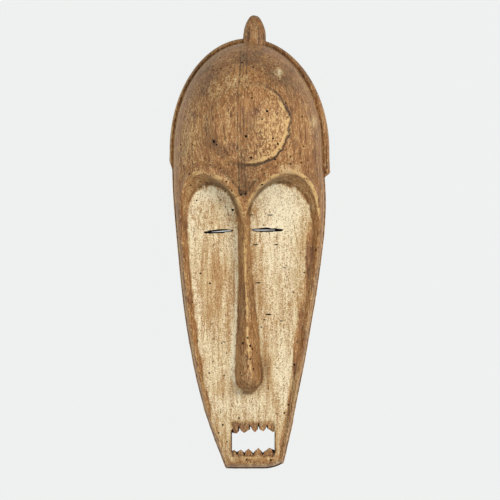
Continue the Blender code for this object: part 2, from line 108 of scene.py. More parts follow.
# Nose
NOSE_TIP_Y = -0.183
NOSE_ROUND = 0.020
NOSE_TOP_Y = 0.045

# Eye slits, left then right: middle, half length and half height at the front, tilt, the share of that
# height left at the back, and how high the back lies
EYE_SLITS = (
    ((-0.0365, 0.0127), 0.0177, 0.0027, math.radians(4), 0.04, 0.0530),
    ((0.0227, 0.0145), 0.0189, 0.0030, math.radians(0), 0.08, 0.0575),
)
SLIT_TOP_Z = 0.096
SLIT_FRONT_Z = 0.080
SLIT_LEAN = 0.0025
SLIT_SIDES = 14
SLIT_BACK_LENGTH = 0.90
SLIT_FLARE = 0.2
SLIT_FRONT_UNEVEN = 0.24
SLIT_BACK_UNEVEN = 0.9

# Mouth: the opening's sides, front and back, the teeth's tips, the valleys between them, the notches cut
# from their roots at the gums into the valleys, and the sunk lip field round it all
MOUTH_LEFT = -0.0214
MOUTH_RIGHT = 0.0301
MOUTH_FRONT_Z = 0.100
MOUTH_BACK_Z = 0.030
UPPER_TIPS = (
    (-0.0157, -0.2317), (-0.0069, -0.2311), (0.0063, -0.2303), (0.0165, -0.2293), (0.0280, -0.2299),
)
UPPER_VALLEYS = ((-0.0117, -0.2275), (0.0018, -0.2260), (0.0108, -0.2260), (0.0203, -0.2250))
LOWER_TIPS = (
    (0.0240, -0.2495), (0.0105, -0.2494), (-0.0015, -0.2504), (-0.0108, -0.2516), (-0.0186, -0.2524),
)
LOWER_VALLEYS = ((0.0160, -0.2550), (0.0042, -0.2552), (-0.0066, -0.2548), (-0.0155, -0.2545))
UPPER_NOTCH_ROOTS = (
    (-0.0206, -0.2262), (-0.0136, -0.2220), (-0.0012, -0.2200), (0.0105, -0.2185), (0.0215, -0.2205),
)
LOWER_NOTCH_ROOTS = (
    (0.0290, -0.2565), (0.0158, -0.2580), (0.0042, -0.2582), (-0.0066, -0.2588), (-0.0152, -0.2580),
)
FIRST_UPPER_NOTCH_END = (-0.0206, -0.2300)
FIRST_LOWER_NOTCH_END = (0.0288, -0.2530)
NOTCH_HALF_WIDTH = 0.0023
NOTCH_FRONT_Z = 0.0800
NOTCH_BACK_Z = 0.0530
LIP_LEFT = -0.0229
LIP_RIGHT = 0.0313
LIP_TOP_Y = -0.2190
LIP_BOTTOM_Y = -0.2612
LIP_DEPTH = 0.0024

# Fineness of the carved surface
COLUMNS = 168
NOSE_COLUMNS = 40
ROWS_BELOW_ARCH = 268
ROWS_IN_ARCH = 82
HOLLOW_COLUMNS = 44
HOLLOW_ROWS_BELOW_ARCH = 72
HOLLOW_ROWS_IN_ARCH = 26
DOME_TURN = 1.2
EDGE_CROWDING = 1.3
SNAP_ACROSS = 0.0006
SNAP_UP = 0.0006
SNAP_AT_STRIP = 0.24
SNAP_PER_SPREAD = 10.0
GRID_EDGE = 0.999
CORNER_EASE = 0.007

# Beetle holes seen on the front, on the head and then on the face: x, y and radius in millimetres
BEETLE_HOLES = (
    (-9.3, 216.6, 1.1), (4.0, 210.5, 1.1), (-34.7, 209.3, 0.9), (-35.9, 222.6, 0.8), (-44.4, 211.8, 0.8),
    (-44.2, 207.4, 0.8), (-8.1, 224.5, 0.8), (0.6, 191.4, 1.0), (2.8, 173.0, 1.0), (20.9, 157.3, 1.4),
    (14.9, 147.6, 1.0), (-4.5, 127.1, 1.5), (28.2, 124.6, 1.1), (1.6, 101.6, 1.4), (-43.2, 121.0, 1.9),
    (-39.4, 117.0, 1.1), (-83.1, 117.4, 1.2), (-68.9, 117.0, 0.8), (63.3, 151.2, 1.2), (64.5, 115.0, 1.0),
    (62.1, 95.6, 1.2), (84.0, 105.3, 0.9), (30.6, 99.2, 1.1), (33.9, 118.0, 1.2), (49.0, 102.8, 0.9),
    (49.0, 94.4, 0.8), (14.9, 69.0, 1.4), (-21.4, 61.7, 1.0), (-28.1, 72.6, 0.9), (-72.2, 82.3, 1.2),
    (-80.1, 91.9, 0.9), (-71.5, 68.4, 1.1), (-34.8, 89.0, 0.8), (-60.0, 73.2, 0.9), (-47.4, 93.0, 0.8),
    (-51.5, 72.0, 0.8), (92.0, 84.7, 1.0), (-10.5, 56.9, 1.3), (-5.4, 58.3, 1.2), (29.5, 212.0, 0.8),
    (24.0, 222.6, 0.9), (34.5, 216.0, 0.7), (-62.5, 152.0, 0.8), (-77.5, 158.5, 0.8), (70.0, 168.0, 0.8),
    (43.6, 167.2, 1.0), (46.0, 150.1, 0.9), (-66.0, 139.5, 0.7), (-54.0, 101.0, 0.7), (75.0, 128.0, 0.7),
    (-20.6, 38.7, 1.4), (-35.1, 50.8, 0.9), (-25.4, 32.7, 0.7), (-64.1, 50.2, 0.9), (-29.2, 42.4, 0.7),
    (-2.5, -115.9, 1.2), (-8.2, -122.3, 1.7), (0.5, -125.4, 1.5), (3.5, -129.2, 1.1), (-11.3, -128.1, 0.9),
    (6.5, -113.7, 0.9), (8.5, -134.0, 0.7), (1.0, -141.3, 1.0), (10.6, -147.3, 1.3), (12.6, -150.3, 0.9),
    (-1.8, -149.6, 0.8), (4.6, -153.4, 1.2), (-11.1, -158.2, 1.0), (-9.8, -161.2, 0.9), (6.3, -175.6, 1.3),
    (4.3, -61.6, 1.4), (-0.5, -30.9, 0.9), (17.5, -94.0, 0.9), (14.0, -103.0, 0.8), (-11.6, -170.0, 0.7),
    (-48.0, -50.0, 1.1), (-59.6, -38.0, 1.0), (-69.4, -72.8, 0.9), (-62.8, -119.0, 0.8), (-49.0, -158.5, 1.0),
    (-30.9, -161.8, 0.8), (-34.0, -122.5, 0.8), (-44.5, -145.0, 0.7), (-28.0, -134.5, 0.7),
    (53.9, -148.6, 1.2), (57.5, -121.0, 0.9), (61.4, -130.2, 0.8), (-13.0, -213.0, 1.1),
    (-32.5, -221.3, 1.1), (-35.0, -206.0, 0.7), (42.0, -207.0, 1.0), (46.9, -197.0, 0.9),
    (-4.0, -263.4, 0.9), (25.7, -263.8, 1.2), (-27.4, -241.5, 0.8), (-37.6, -231.0, 0.8),
    (66.0, -37.0, 0.8), (52.5, -60.5, 0.8), (33.0, -152.5, 0.7), (23.0, -177.0, 0.7),
)
HOLE_WEAR = 0.00025
HOLE_DEPTH = 0.0052
HOLE_SIDES = 8

# Short cuts across the grain: x, y, length, height and turn, in millimetres and degrees
CROSS_CUTS = (
    (7.0, -3.4, 7.0, 1.3, 2), (31.9, -3.2, 6.0, 1.1, -3), (9.7, -49.4, 8.5, 1.2, 3),
    (22.4, -87.6, 7.5, 1.5, -4), (38.6, -95.6, 3.6, 1.2, 0), (80.0, -9.4, 6.0, 1.4, 58),
    (-77.5, -21.8, 5.0, 1.2, 0), (-45.6, -99.2, 4.0, 0.8, 0), (-43.2, -117.4, 4.5, 0.8, 0),
    (-30.9, -121.0, 4.0, 1.0, -8), (24.8, 32.6, 9.0, 1.0, 0), (2.6, 33.0, 5.0, 0.8, 8),
    (42.4, -31.2, 6.0, 0.8, -6),
)
CUT_DEPTH = 0.0022


def smooth(t):
    """0 below 0, 1 above 1, and an S between them."""
    t = np.clip(t, 0.0, 1.0)
    return t * t * (3.0 - 2.0 * t)


def bell(t):
    """1 at 0, fading to nothing past 2 on either side."""
    return np.exp(-(t**2))


def smooth_through(*points):
    """A smooth function through (station, value) points, level past both ends."""
    station, value = np.array(points, float).T
    slope = np.gradient(value, station)

    def read(at):
        at = np.clip(at, station[0], station[-1])
        i = np.clip(np.searchsorted(station, at) - 1, 0, len(station) - 2)
        span = station[i + 1] - station[i]
        t = (at - station[i]) / span
        rise = value[i] + (value[i + 1] - value[i]) * t * t * (3.0 - 2.0 * t)
        return rise + span * t * (1.0 - t) * (slope[i] * (1.0 - t) - slope[i + 1] * t)

    return read


def chance(i, j, seed):
    """A repeatable number from 0 to 1 for each pair of whole numbers."""
    mixed = np.sin(i * 127.1 + j * 311.7 + seed * 74.7) * 43758.5453
    return mixed - np.floor(mixed)


def drift(x, y, across, along, seed):
    """Smooth random values from -1 to 1 that change over the given distances."""
    u, v = x / across, y / along
    i, j = np.floor(u), np.floor(v)
    s, t = smooth(u - i), smooth(v - j)
    near = chance(i, j, seed) * (1.0 - s) + chance(i + 1, j, seed) * s
    far = chance(i, j + 1, seed) * (1.0 - s) + chance(i + 1, j + 1, seed) * s
    return 2.0 * (near * (1.0 - t) + far * t) - 1.0


def scoops(x, y, across, along, seed):
    """The bowls that a gouge leaves side by side: -0.4 in the middle of each, up to 0.3 on the ridges."""
    u, v = x / across, y / along
    nearest = np.full(np.shape(x), 9.0)
    for step_u in (-1, 0, 1):
        for step_v in (-1, 0, 1):
            i, j = np.floor(u) + step_u, np.floor(v) + step_v
            middle_u = i + 0.15 + 0.7 * chance(i, j, seed)
            middle_v = j + 0.15 + 0.7 * chance(i, j, seed + 1)
            nearest = np.minimum(nearest, (u - middle_u) ** 2 + (v - middle_v) ** 2)
    return np.minimum(nearest, 0.7) - 0.4


# Plan outline at the front shoulder, and how far its middle and the nose line lean sideways
half_width = smooth_through(
    (CHIN_Y, 0.0335), (-0.252, 0.0398), (-0.230, 0.0462), (-0.172, 0.0605), (-0.114, 0.0717),
    (-0.027, 0.0840), (0.053, 0.0905), (ARCH_Y, ARCH_RX),
)
plan_middle = smooth_through(
    (CHIN_Y, 0.0060), (-0.250, 0.0037), (-0.200, 0.0000), (-0.120, -0.0012), (0.050, 0.0000),
    (0.090, -0.0020),
)
nose_line = smooth_through(
    (NOSE_TIP_Y, -0.0008), (-0.131, -0.0021), (-0.100, -0.0029), (-0.040, -0.0056), (0.000, -0.0067),
    (0.029, -0.0068), (0.063, -0.0081), (0.160, -0.0104), (0.220, -0.0062),
)
nose_half_width = smooth_through(
    (NOSE_TIP_Y, 0.0150), (-0.165, 0.0159), (-0.153, 0.0160), (-0.131, 0.0146), (-0.100, 0.0122),
    (-0.070, 0.0102), (-0.040, 0.0084), (0.000, 0.0074), (0.029, 0.0073),
)
# How much wider than the nose the grid's middle strip is, so that its sides follow the brows' lower ends
strip_spread = smooth_through(
    (0.0420, 0.0), (0.0460, 0.0), (0.0500, 0.0019), (0.0540, 0.0045), (0.0580, 0.0075), (0.0620, 0.0105),
    (0.0660, 0.0120), (0.0700, 0.0125),
)
nose_fullness = smooth_through((NOSE_TIP_Y, 2.6), (-0.150, 2.0), (-0.100, 1.5), (0.000, 1.3))

# Heights along the middle: the uncarved block, its shoulder, the carved floor and the nose's ridge
block_height = smooth_through(
    (CHIN_Y, 0.080), (-0.200, 0.084), (-0.080, 0.087), (0.000, 0.093), (0.035, 0.102), (0.070, 0.121),
    (0.100, 0.137), (DISC_Y, 0.149), (0.190, 0.152),
)
shoulder_height = smooth_through(
    (CHIN_Y, 0.054), (-0.100, 0.058), (0.060, 0.066), (ARCH_Y, 0.066), (CROWN_Y, 0.062),
)
squareness = smooth_through((-0.060, 18.0), (-0.010, 15.0), (0.040, 6.0), (0.080, 2.9), (ARCH_Y, 2.3))
cornering = smooth_through((-0.060, 4.0), (0.000, 3.6), (0.050, 2.6), (ARCH_Y, 2.1))
floor_height = smooth_through(
    (CHIN_Y, 0.078), (-0.235, 0.080), (-0.200, 0.077), (-0.140, 0.073), (-0.060, 0.072), (0.030, 0.078),
    (0.070, 0.088),
)
floor_dish = smooth_through((-0.240, -0.006), (-0.200, -0.003), (-0.120, 0.005), (0.030, 0.006))
nose_ridge = smooth_through((-0.165, 0.100), (-0.100, 0.093), (-0.040, 0.093), (0.010, 0.097), (0.040, 0.104))
wall = smooth_through((HOLLOW_END_Y, 0.0095), (-0.210, 0.0125), (0.000, 0.013))
hollow_roof = smooth_through(
    (HOLLOW_END_Y, 0.060), (-0.200, 0.063), (-0.120, 0.058), (0.000, 0.059), (0.040, 0.064), (0.070, 0.080),
    (0.105, 0.115), (DISC_Y, 0.130), (0.190, 0.130),
)
row_place = smooth_through(
    (0.00, CHIN_Y), (0.034, -0.269), (0.068, -0.261), (0.14, -0.225), (0.20, -0.192), (0.29, -0.155),
    (0.39, -0.068), (0.46, -0.018), (0.52, 0.008), (0.60, 0.028), (0.80, 0.070), (1.00, ARCH_Y),
)

# Where the white clay ends toward the two rims
clay_left = smooth_through(
    (-0.262, -0.032), (-0.240, -0.0372), (-0.2275, -0.0425), (-0.197, -0.0492), (-0.167, -0.0559),
    (-0.1307, -0.0613), (-0.0944, -0.0650), (-0.058, -0.0698), (-0.0218, -0.0728), (0.0242, -0.0747),
)
clay_right = smooth_through(
    (-0.262, 0.034), (-0.240, 0.0368), (-0.227, 0.0405), (-0.191, 0.0462), (-0.1428, 0.0524),
    (-0.1198, 0.0548), (-0.0883, 0.0616), (-0.0399, 0.0657), (-0.0169, 0.0678), (0.0157, 0.0693),
    (0.0315, 0.0718),
)


def corner_lift(x):
    """How far the chin's lower edge rounds up toward its right corner."""
    return CHIN_CORNER_LIFT * np.clip((x - CHIN_CORNER_START_X) / CHIN_CORNER_SPAN, 0.0, 1.0) ** 2.5


def lifted(x, y):
    """Moves a point of a square-cornered chin to its place in the rounded one."""
    share = np.clip(1.0 - (y - CHIN_Y) / CHIN_CORNER_REACH, 0.0, 1.0)
    return y + corner_lift(x) * share


def unlifted(x, y):
    """The opposite of lifted."""
    lift = corner_lift(x)
    before = CHIN_Y + (y - CHIN_Y - lift) / (1.0 - lift / CHIN_CORNER_REACH)
    return np.where(before < CHIN_Y + CHIN_CORNER_REACH, before, y)


def place_in_plan(across, up, rows_below, rows_above, inset=None, low_end=None):
    """Moves grid coordinates, across in -1..1 and up in 0..1, to x, y inside the mask's outline.

    Rows run straight below the arch and bend round with the head within it.
    """
    row = up * (rows_below + rows_above)
    below = row_place(row / rows_below)
    if low_end is not None:
        below = low_end + (ARCH_Y - low_end) * np.clip(row / rows_below, 0.0, 1.0)
    within = np.clip((row - rows_below) / rows_above, 0.0, 1.0)
    inset = inset(below) if inset else 0.0
    width = half_width(below) - inset

    lean = (nose_line(below) - plan_middle(below)) / width
    nose = (nose_half_width(below) + strip_spread(below)) / width
    nose_share = NOSE_COLUMNS / COLUMNS
    off = np.abs(across)
    beyond = np.clip((off - nose_share) / (1.0 - nose_share), 0.0, 1.0)
    outward = nose * np.minimum(off / nose_share, 1.0)
    outward += (1.0 - nose) * (1.0 - (1.0 - beyond) ** EDGE_CROWDING)
    target = np.sign(across) * outward + lean * (1.0 - outward)

    bend = math.sin(DOME_TURN)
    straight = np.arcsin(np.clip(target, -1.0, 1.0) * bend) / DOME_TURN
    side = straight * np.sqrt(1.0 - within**2 / 2.0)
    rise = within * np.sqrt(1.0 - straight**2 / 2.0)
    reach = np.maximum(np.hypot(side, rise), 1e-9)
    swell = np.sin(DOME_TURN * reach) / bend / reach
    return plan_middle(below) + width * side * swell, below + (ARCH_RY - inset) * rise * swell


def share_to_edge(x, y):
    """0 on the mask's middle line and 1 at its plan outline, for a point with its chin unlifted."""
    side = (x - plan_middle(y)) / half_width(y)
    return np.clip(np.hypot(side, np.maximum(y - ARCH_Y, 0.0) / ARCH_RY), 0.0, 1.0)


def drawn_to_edges(x, y, across, up):
    """Sets the grid points near the brows' and the floors' edges on them, so that these are crisp."""
    for side in (0, 1):
        for arch in (FLOOR_ARCHES[side], BROW_ARCHES[side]):
            outward = 1.0 / np.maximum(arch_reach(x, y, arch, side), 1e-9) - 1.0
            move_x, move_y = (x - arch[0]) * outward, (y - SPRING_Y) * outward
            off_strip = np.abs(x - nose_line(y)) / (nose_half_width(y) + strip_spread(y))
            least = SNAP_AT_STRIP + SNAP_PER_SPREAD * strip_spread(y)
            by_strip = least + (1.0 - least) * smooth(2.0 * off_strip - 2.0)
            reach = across * (1.0 - share_to_edge(x, y)) ** 0.25 * by_strip + 1e-6
            near = (np.hypot(move_x / reach, move_y / up) < 1.0) & (y > SPRING_Y - up)
            x, y = x + near * move_x, y + near * move_y
    return x, y


def arch_reach(x, y, arch, side):
    """1 on an arch's line, less inside it. The arch's legs run straight down from its springing."""
    top_x, to_left, to_right, rise, toward_nose, away = arch
    off = x - top_x
    out = np.abs(off) / np.where(off < 0.0, to_left, to_right)
    over = np.maximum(y - SPRING_Y, 0.0) / rise
    fullness = np.where((off > 0.0) == (side == 0), toward_nose, away)
    return (out**fullness + over**fullness) ** (1.0 / fullness)


def past_nearer(x, y, arches):
    """1 on the line of the nearer of two arches, less inside it and more beyond."""
    return np.minimum(arch_reach(x, y, arches[0], 0), arch_reach(x, y, arches[1], 1))


def hollowing(x, y, side):
    """0 outside one eye hollow and 1 on its floor, through the slope under the brow."""
    to_brow = 1.0 - arch_reach(x, y, BROW_ARCHES[side], side)
    past_floor = arch_reach(x, y, FLOOR_ARCHES[side], side) - 1.0
    return np.clip(to_brow / np.maximum(to_brow + np.maximum(past_floor, 0.0), 1e-9), 0.0, 1.0)


def in_hollows(x, y):
    """0 outside both eye hollows and 1 on their floors, through the slope under the brows."""
    return np.maximum(hollowing(x, y, 0), hollowing(x, y, 1))


def under_brows(x, y):
    """1 halfway down the slope under the brows, 0 above and below it."""
    return np.sin(math.pi * np.clip(in_hollows(x, y), 0.0, 1.0)) * smooth((y - SPRING_Y) / 0.02)


def floor_share(x, y):
    """How far the surface has gone from the block down to the carved floor, 0 to 1."""
    in_arches = in_hollows(x, y)
    from_rim = np.clip((1.0 - share_to_edge(x, y) - RIM_LINE) / RIM_BEVEL, 0.0, 1.0)
    lower = smooth((SPRING_Y - y) / 0.030)
    return np.sin(math.pi / 2.0 * (in_arches + (from_rim - in_arches) * lower))


def above_spring(y):
    """0 below the springing of the arches and 1 above it."""
    return smooth((y - SPRING_Y + 0.012) / 0.030)


def on_brow(x, y):
    """1 along the raised band of both brows."""
    reach = past_nearer(x, y, BROW_ARCHES)
    band = bell((reach - BROW_CREST) / BROW_WIDTH)
    edge = bell((1.0 - BROW_CREST) / BROW_WIDTH) * bell((reach - 1.0) / 0.04)
    band = np.where(reach > 1.0, band, edge)
    return band * above_spring(y)


def brow_band(x, y):
    """The raised band along both brows, with the shallow groove above it."""
    groove = bell((past_nearer(x, y, BROW_ARCHES) - BROW_GROOVE_AT) / 0.04) * above_spring(y)
    ragged = 1.0 + 0.22 * drift(x, y, 0.0035, 0.0035, 11)
    return BROW_RISE * on_brow(x, y) * ragged - BROW_GROOVE * groove


def disc_sharpness(x, y):
    """0 at the disc's soft left side and 1 at its sharp right side."""
    turn = np.arctan2(y - DISC_Y, x - DISC_X)
    return 0.5 + 0.5 * np.cos(turn - DISC_SHARPEST_TURN)


def past_disc(x, y):
    """How far a point is outside the disc's edge, which is ragged at the right, where wood broke away."""
    turn = np.arctan2(y - DISC_Y, x - DISC_X)
    along = turn * DISC_RADIUS
    ragged = 0.0016 * drift(x, y, 0.0100, 0.0070, 21) + 0.0010 * drift(x, y, 0.0032, 0.0026, 22)
    ragged += 0.0008 * drift(along, along, 0.0017, 1.0, 24)
    return np.hypot(x - DISC_X, y - DISC_Y) - DISC_RADIUS - ragged * disc_sharpness(x, y) ** 2


def forehead_disc(x, y):
    """The round boss on the forehead: soft-edged at its left, a sharp step with a fine cut at its right."""
    sharpness = disc_sharpness(x, y)
    outside = past_disc(x, y)
    edge = DISC_SOFT_EDGE + (DISC_SHARP_EDGE - DISC_SOFT_EDGE) * sharpness**0.6
    cut = bell((outside - 0.0012) / 0.0008) * smooth(sharpness * 3.0 - 1.8)
    # Only fine uneven relief here, on the disc's top by its sharp side, where the wood wore away; it paints
    # nothing.
    wear_and_painted_light = 0.0002 * drift(x, y, 0.0026, 0.0034, 23) * smooth(sharpness * 2.0 - 0.8) * (outside < 0.0)
    return DISC_RISE * smooth(0.5 - outside / edge) - DISC_CUT_DEPTH * cut + wear_and_painted_light


def middle_ridge(x, y):
    """The fine ridge down the forehead, split by a middle groove and edged by two more."""
    off = x - nose_line(y) + 0.0003 * drift(x, y, 0.02, 0.014, 31)
    on_forehead = smooth((y - 0.047) / 0.012) * smooth((0.232 - y) / 0.022)
    ridge = RIDGE_RISE * bell(off / RIDGE_HALF_WIDTH)
    for groove in RIDGE_GROOVES:
        ridge -= GROOVE_DEPTH * bell((off - groove) / GROOVE_HALF_WIDTH)
    return ridge * on_forehead


def past_nose(x, y):
    """How far across the nose a point is, -1 at its left and 1 at its right, and its tip's narrowing."""
    past_round = np.clip((NOSE_TIP_Y + NOSE_ROUND - y) / NOSE_ROUND, 0.0, 1.0)
    narrowing = np.maximum(np.sqrt(1.0 - past_round**2), 1e-3)
    return (x - nose_line(y)) / (nose_half_width(y) * narrowing), narrowing


def lip_sink(x, y):
    """The shallow sunk field round the mouth that the teeth stand in."""
    ragged = 0.0011 * drift(x, y, 0.0034, 0.0034, 35)
    side = smooth((x - LIP_LEFT + ragged) / 0.0022) * smooth((LIP_RIGHT - x + ragged) / 0.0022)
    over = smooth((LIP_TOP_Y + 0.0045 - y + ragged) / 0.0060) * smooth((y - LIP_BOTTOM_Y + ragged) / 0.0030)
    return LIP_DEPTH * side * over


def tool_marks(x, y, edge, carved):
    """Gouge facets, raised grain and slow unevenness of the hand-carved surface."""
    facets = 0.00062 * scoops(x, y, 0.0085, 0.021, 41) * (1.0 - 0.55 * carved)
    facets += 0.00030 * scoops(x, y, 0.0050, 0.034, 43) * carved
    grain = 0.00010 * drift(x, y, 0.0017, 0.028, 45) + 0.00007 * drift(x, y, 0.0011, 0.012, 46)
    slow = 0.00045 * drift(x, y, 0.024, 0.040, 47)
    return (facets + grain + slow) * smooth((1.0 - edge) * 12.0)


def front_height(x, y):
    """Height of the carved front over a point of the plan."""
    y = unlifted(x, y)
    edge = share_to_edge(x, y)
    shoulder = shoulder_height(y)
    section = (1.0 - edge ** squareness(y)) ** (1.0 / cornering(y))
    block = shoulder + (block_height(y) - shoulder) * section
    block += forehead_disc(x, y) + middle_ridge(x, y) + brow_band(x, y)

    share = floor_share(x, y)
    floor = floor_height(y) + floor_dish(y) * edge**2
    carved = block + (floor - block) * share

    off, narrowing = past_nose(x, y)
    crest = (1.0 - np.clip(np.abs(off), 0.0, 1.0) ** nose_fullness(y)) * narrowing**1.1
    nose = floor + (nose_ridge(y) - floor) * crest
    on_nose = (np.abs(off) < 1.0) & (y > NOSE_TIP_Y) & (y < NOSE_TOP_Y)
    carved = np.where(on_nose, np.maximum(carved, nose), carved)
    carved += tool_marks(x, y, edge, share) - lip_sink(x, y)

    from_chin = np.clip((y - CHIN_Y) / CHIN_SHOULDER, 0.0, 1.0)
    chin_section = (1.0 - (1.0 - from_chin) ** 2.4) ** (1.0 / 2.1)
    return shoulder + (carved - shoulder) * chin_section


def hollow_inset(y):
    return RIM_INSET + wall(y)


def hollow_height(x, y):
    """Height of the hollow's roof, with the bowls that the gouge left in it."""
    inset = hollow_inset(y)
    side = (x - plan_middle(y)) / (half_width(y) - inset)
    edge = np.clip(np.hypot(side, np.maximum(y - ARCH_Y, 0.0) / (ARCH_RY - inset)), 0.0, 1.0)
    section = (1.0 - edge**2.6) ** 0.5
    from_end = np.clip((y - HOLLOW_END_Y) / HOLLOW_END_ROUND, 0.0, 1.0)
    roof = (hollow_roof(y) - HOLLOW_EDGE_HEIGHT) * section * (1.0 - (1.0 - from_end) ** 2.4) ** 0.5
    gouged = 0.0026 * scoops(x, y, 0.013, 0.024, 51) * smooth((1.0 - edge) * 6.0)
    return HOLLOW_EDGE_HEIGHT + roof + gouged


def band_share(x, y):
    """1 where the head's band stands out from the side and 0 below its two ends."""
    left = smooth((y - BAND_END_LEFT_Y) / BAND_END_LEFT_EASE)
    right = smooth((y - BAND_END_RIGHT_Y) / BAND_END_RIGHT_EASE)
    return np.where(x < 0.0, left, right)


def band_width(x, y):
    """How far the head's band stands out: least at the crown and most at the right."""
    side = np.clip(x / ARCH_RX, -1.0, 1.0)
    widest = np.where(x < 0.0, BAND_WIDTH_LEFT, BAND_WIDTH_RIGHT)
    return BAND_WIDTH_CROWN + (widest - BAND_WIDTH_CROWN) * side**2


def side_rings(x, y):
    """Outward step and height of each ring from the front shoulder down to the back rim."""
    shoulder = shoulder_height(y)
    band = band_share(x, y)
    wide = band_width(x, y)
    near_front = (
        (0.0005, 0.0001, 0.0009), (0.0008, 0.0006, 0.0026), (0.0010, 0.0015, 0.0031),
        (0.0012, 0.0023, 0.0020), (0.0013, 0.5 * wide + 0.0006, 0.0013), (0.0015, wide - 0.0014, 0.0019),
        (0.0017, wide - 0.0003, 0.0042), (0.0018, wide, 0.0078), (0.0019, wide - 0.0007, 0.0108),
        (SIDE_BULGE, 0.0009, 0.0145),
    )
    for plain, on_band, drop in near_front:
        plain_drop = drop * (0.4 + 0.6 * smooth(drop / 0.010))
        yield plain + (on_band - plain) * band, shoulder - plain_drop - (drop - plain_drop) * band
    for share, out in ((0.62, SIDE_BULGE), (0.46, 0.0019), (0.31, 0.0015), (0.17, 0.0007), (0.06, -0.0006)):
        yield out * np.ones_like(shoulder), shoulder * share
    yield -0.0022 * np.ones_like(shoulder), 0.0009 * np.ones_like(shoulder)
    yield -RIM_INSET * np.ones_like(shoulder), np.zeros_like(shoulder)


def coordinates(mesh):
    flat = np.empty(len(mesh.vertices) * 3)
    mesh.vertices.foreach_get("co", flat)
    return flat.reshape(-1, 3)


def only(obj):
    """Makes one object the only selected and the active one."""
    bpy.ops.object.select_all(action="DESELECT")
    obj.select_set(True)
    bpy.context.view_layer.objects.active = obj


def shaped_grid(name, columns, rows_below, rows_above, height, **plan_options):
    """A grid laid inside the outline and raised to height(x, y)."""
    bpy.ops.mesh.primitive_grid_add(x_subdivisions=columns, y_subdivisions=rows_below + rows_above, size=2.0)
    obj = bpy.context.object
    obj.name = name
    flat = coordinates(obj.data)
    x, y = place_in_plan(flat[:, 0], (flat[:, 1] + 1.0) / 2.0, rows_below, rows_above, **plan_options)
    if "low_end" not in plan_options:
        y = lifted(x, y)
        inside = (np.abs(flat[:, 0]) < GRID_EDGE) & (np.abs(flat[:, 1]) < GRID_EDGE)
        crisp_x, crisp_y = drawn_to_edges(x, y, SNAP_ACROSS, SNAP_UP)
        x, y = np.where(inside, crisp_x, x), np.where(inside, crisp_y, y)
    obj.data.vertices.foreach_set("co", np.column_stack((x, y, height(x, y))).ravel())
    return obj


def boundary_loop(bm):
    """The open edge's vertices in order, counter-clockwise from above."""
    start = next(v for v in bm.verts if v.is_boundary)
    loop, last, here = [start], None, start
    while True:
        ways = [e.other_vert(here) for e in here.link_edges if e.is_boundary]
        ahead = next(v for v in ways if v is not last)
        if ahead is start:
            break
        loop.append(ahead)
        last, here = here, ahead
    places = np.array([v.co for v in loop])
    ahead = np.roll(places, -1, axis=0)
    area = np.sum(places[:, 0] * ahead[:, 1] - ahead[:, 0] * places[:, 1])
    return loop if area > 0 else loop[::-1]


def eased_normals(loop):
    """Outward directions along a closed loop, turning gradually past its corners."""
    ahead = np.roll(loop, -1, axis=0) - loop
    length = np.linalg.norm(ahead, axis=1)
    middle = np.cumsum(length) - length / 2.0
    station = np.cumsum(length) - length
    gap = np.abs(station[:, None] - middle[None, :])
    gap = np.minimum(gap, length.sum() - gap)
    weight = bell(gap / CORNER_EASE)
    outward = weight @ np.column_stack((ahead[:, 1], -ahead[:, 0]))
    return outward / np.linalg.norm(outward, axis=1)[:, None]


def drop_walls(obj, rings, marks=None):
    """Extrudes the open edge once for each (outward step, height) ring and closes the last one."""
    only(obj)
    bpy.ops.object.mode_set(mode="EDIT")
    bpy.ops.mesh.select_mode(type="EDGE")
    bpy.ops.mesh.select_all(action="DESELECT")
    bm = bmesh.from_edit_mesh(obj.data)
    loop = boundary_loop(bm)
    edge = np.array([v.co for v in loop])
    outward = eased_normals(edge[:, :2])
    station = np.cumsum(np.linalg.norm(edge[:, :2] - np.roll(edge[:, :2], 1, axis=0), axis=1))
    for e in bm.edges:
        e.select_set(e.is_boundary)
    for step, height in rings(edge[:, 0], edge[:, 1]):
        bpy.ops.mesh.extrude_edges_move()
        loop = [next(e.other_vert(v) for e in v.link_edges if e.other_vert(v).select) for v in loop]
        height = np.broadcast_to(height, len(loop))
        if marks is not None:
            step = step + marks(station, height)
        reach = edge[:, :2] + outward * np.reshape(step, (-1, 1))
        for vert, (x, y), z in zip(loop, reach, height):
            vert.co = (x, y, z)
    bpy.ops.mesh.edge_face_add()
    bpy.ops.mesh.select_all(action="SELECT")
    bpy.ops.mesh.normals_make_consistent(inside=False)
    bpy.ops.object.mode_set(mode="OBJECT")


def side_marks(station, height):
    """Adze facets on the side wall, fading to nothing at the flat back rim."""
    facets = 0.0011 * scoops(station, height, 0.012, 0.019, 61)
    facets = facets + 0.0002 * drift(station, height, 0.004, 0.002, 63)
    return facets * smooth(height / 0.010) * smooth((0.056 - height) / 0.014)


def combine(obj, tool, operation):
    """Unites two closed shapes or cuts one by the other, and removes the second."""
    step = obj.modifiers.new(tool.name, "BOOLEAN")
    step.operation = operation
    step.object = tool
    step.solver = "EXACT"
    step.material_mode = "TRANSFER"
    only(obj)
    bpy.ops.object.modifier_apply(modifier=step.name)
    bpy.data.objects.remove(tool)


def joined(objects):
    """Makes separate closed shapes one object, without uniting them."""
    bpy.ops.object.select_all(action="DESELECT")
    for obj in objects:
        obj.select_set(True)
    bpy.context.view_layer.objects.active = objects[0]
    bpy.ops.object.join()
    return bpy.context.object


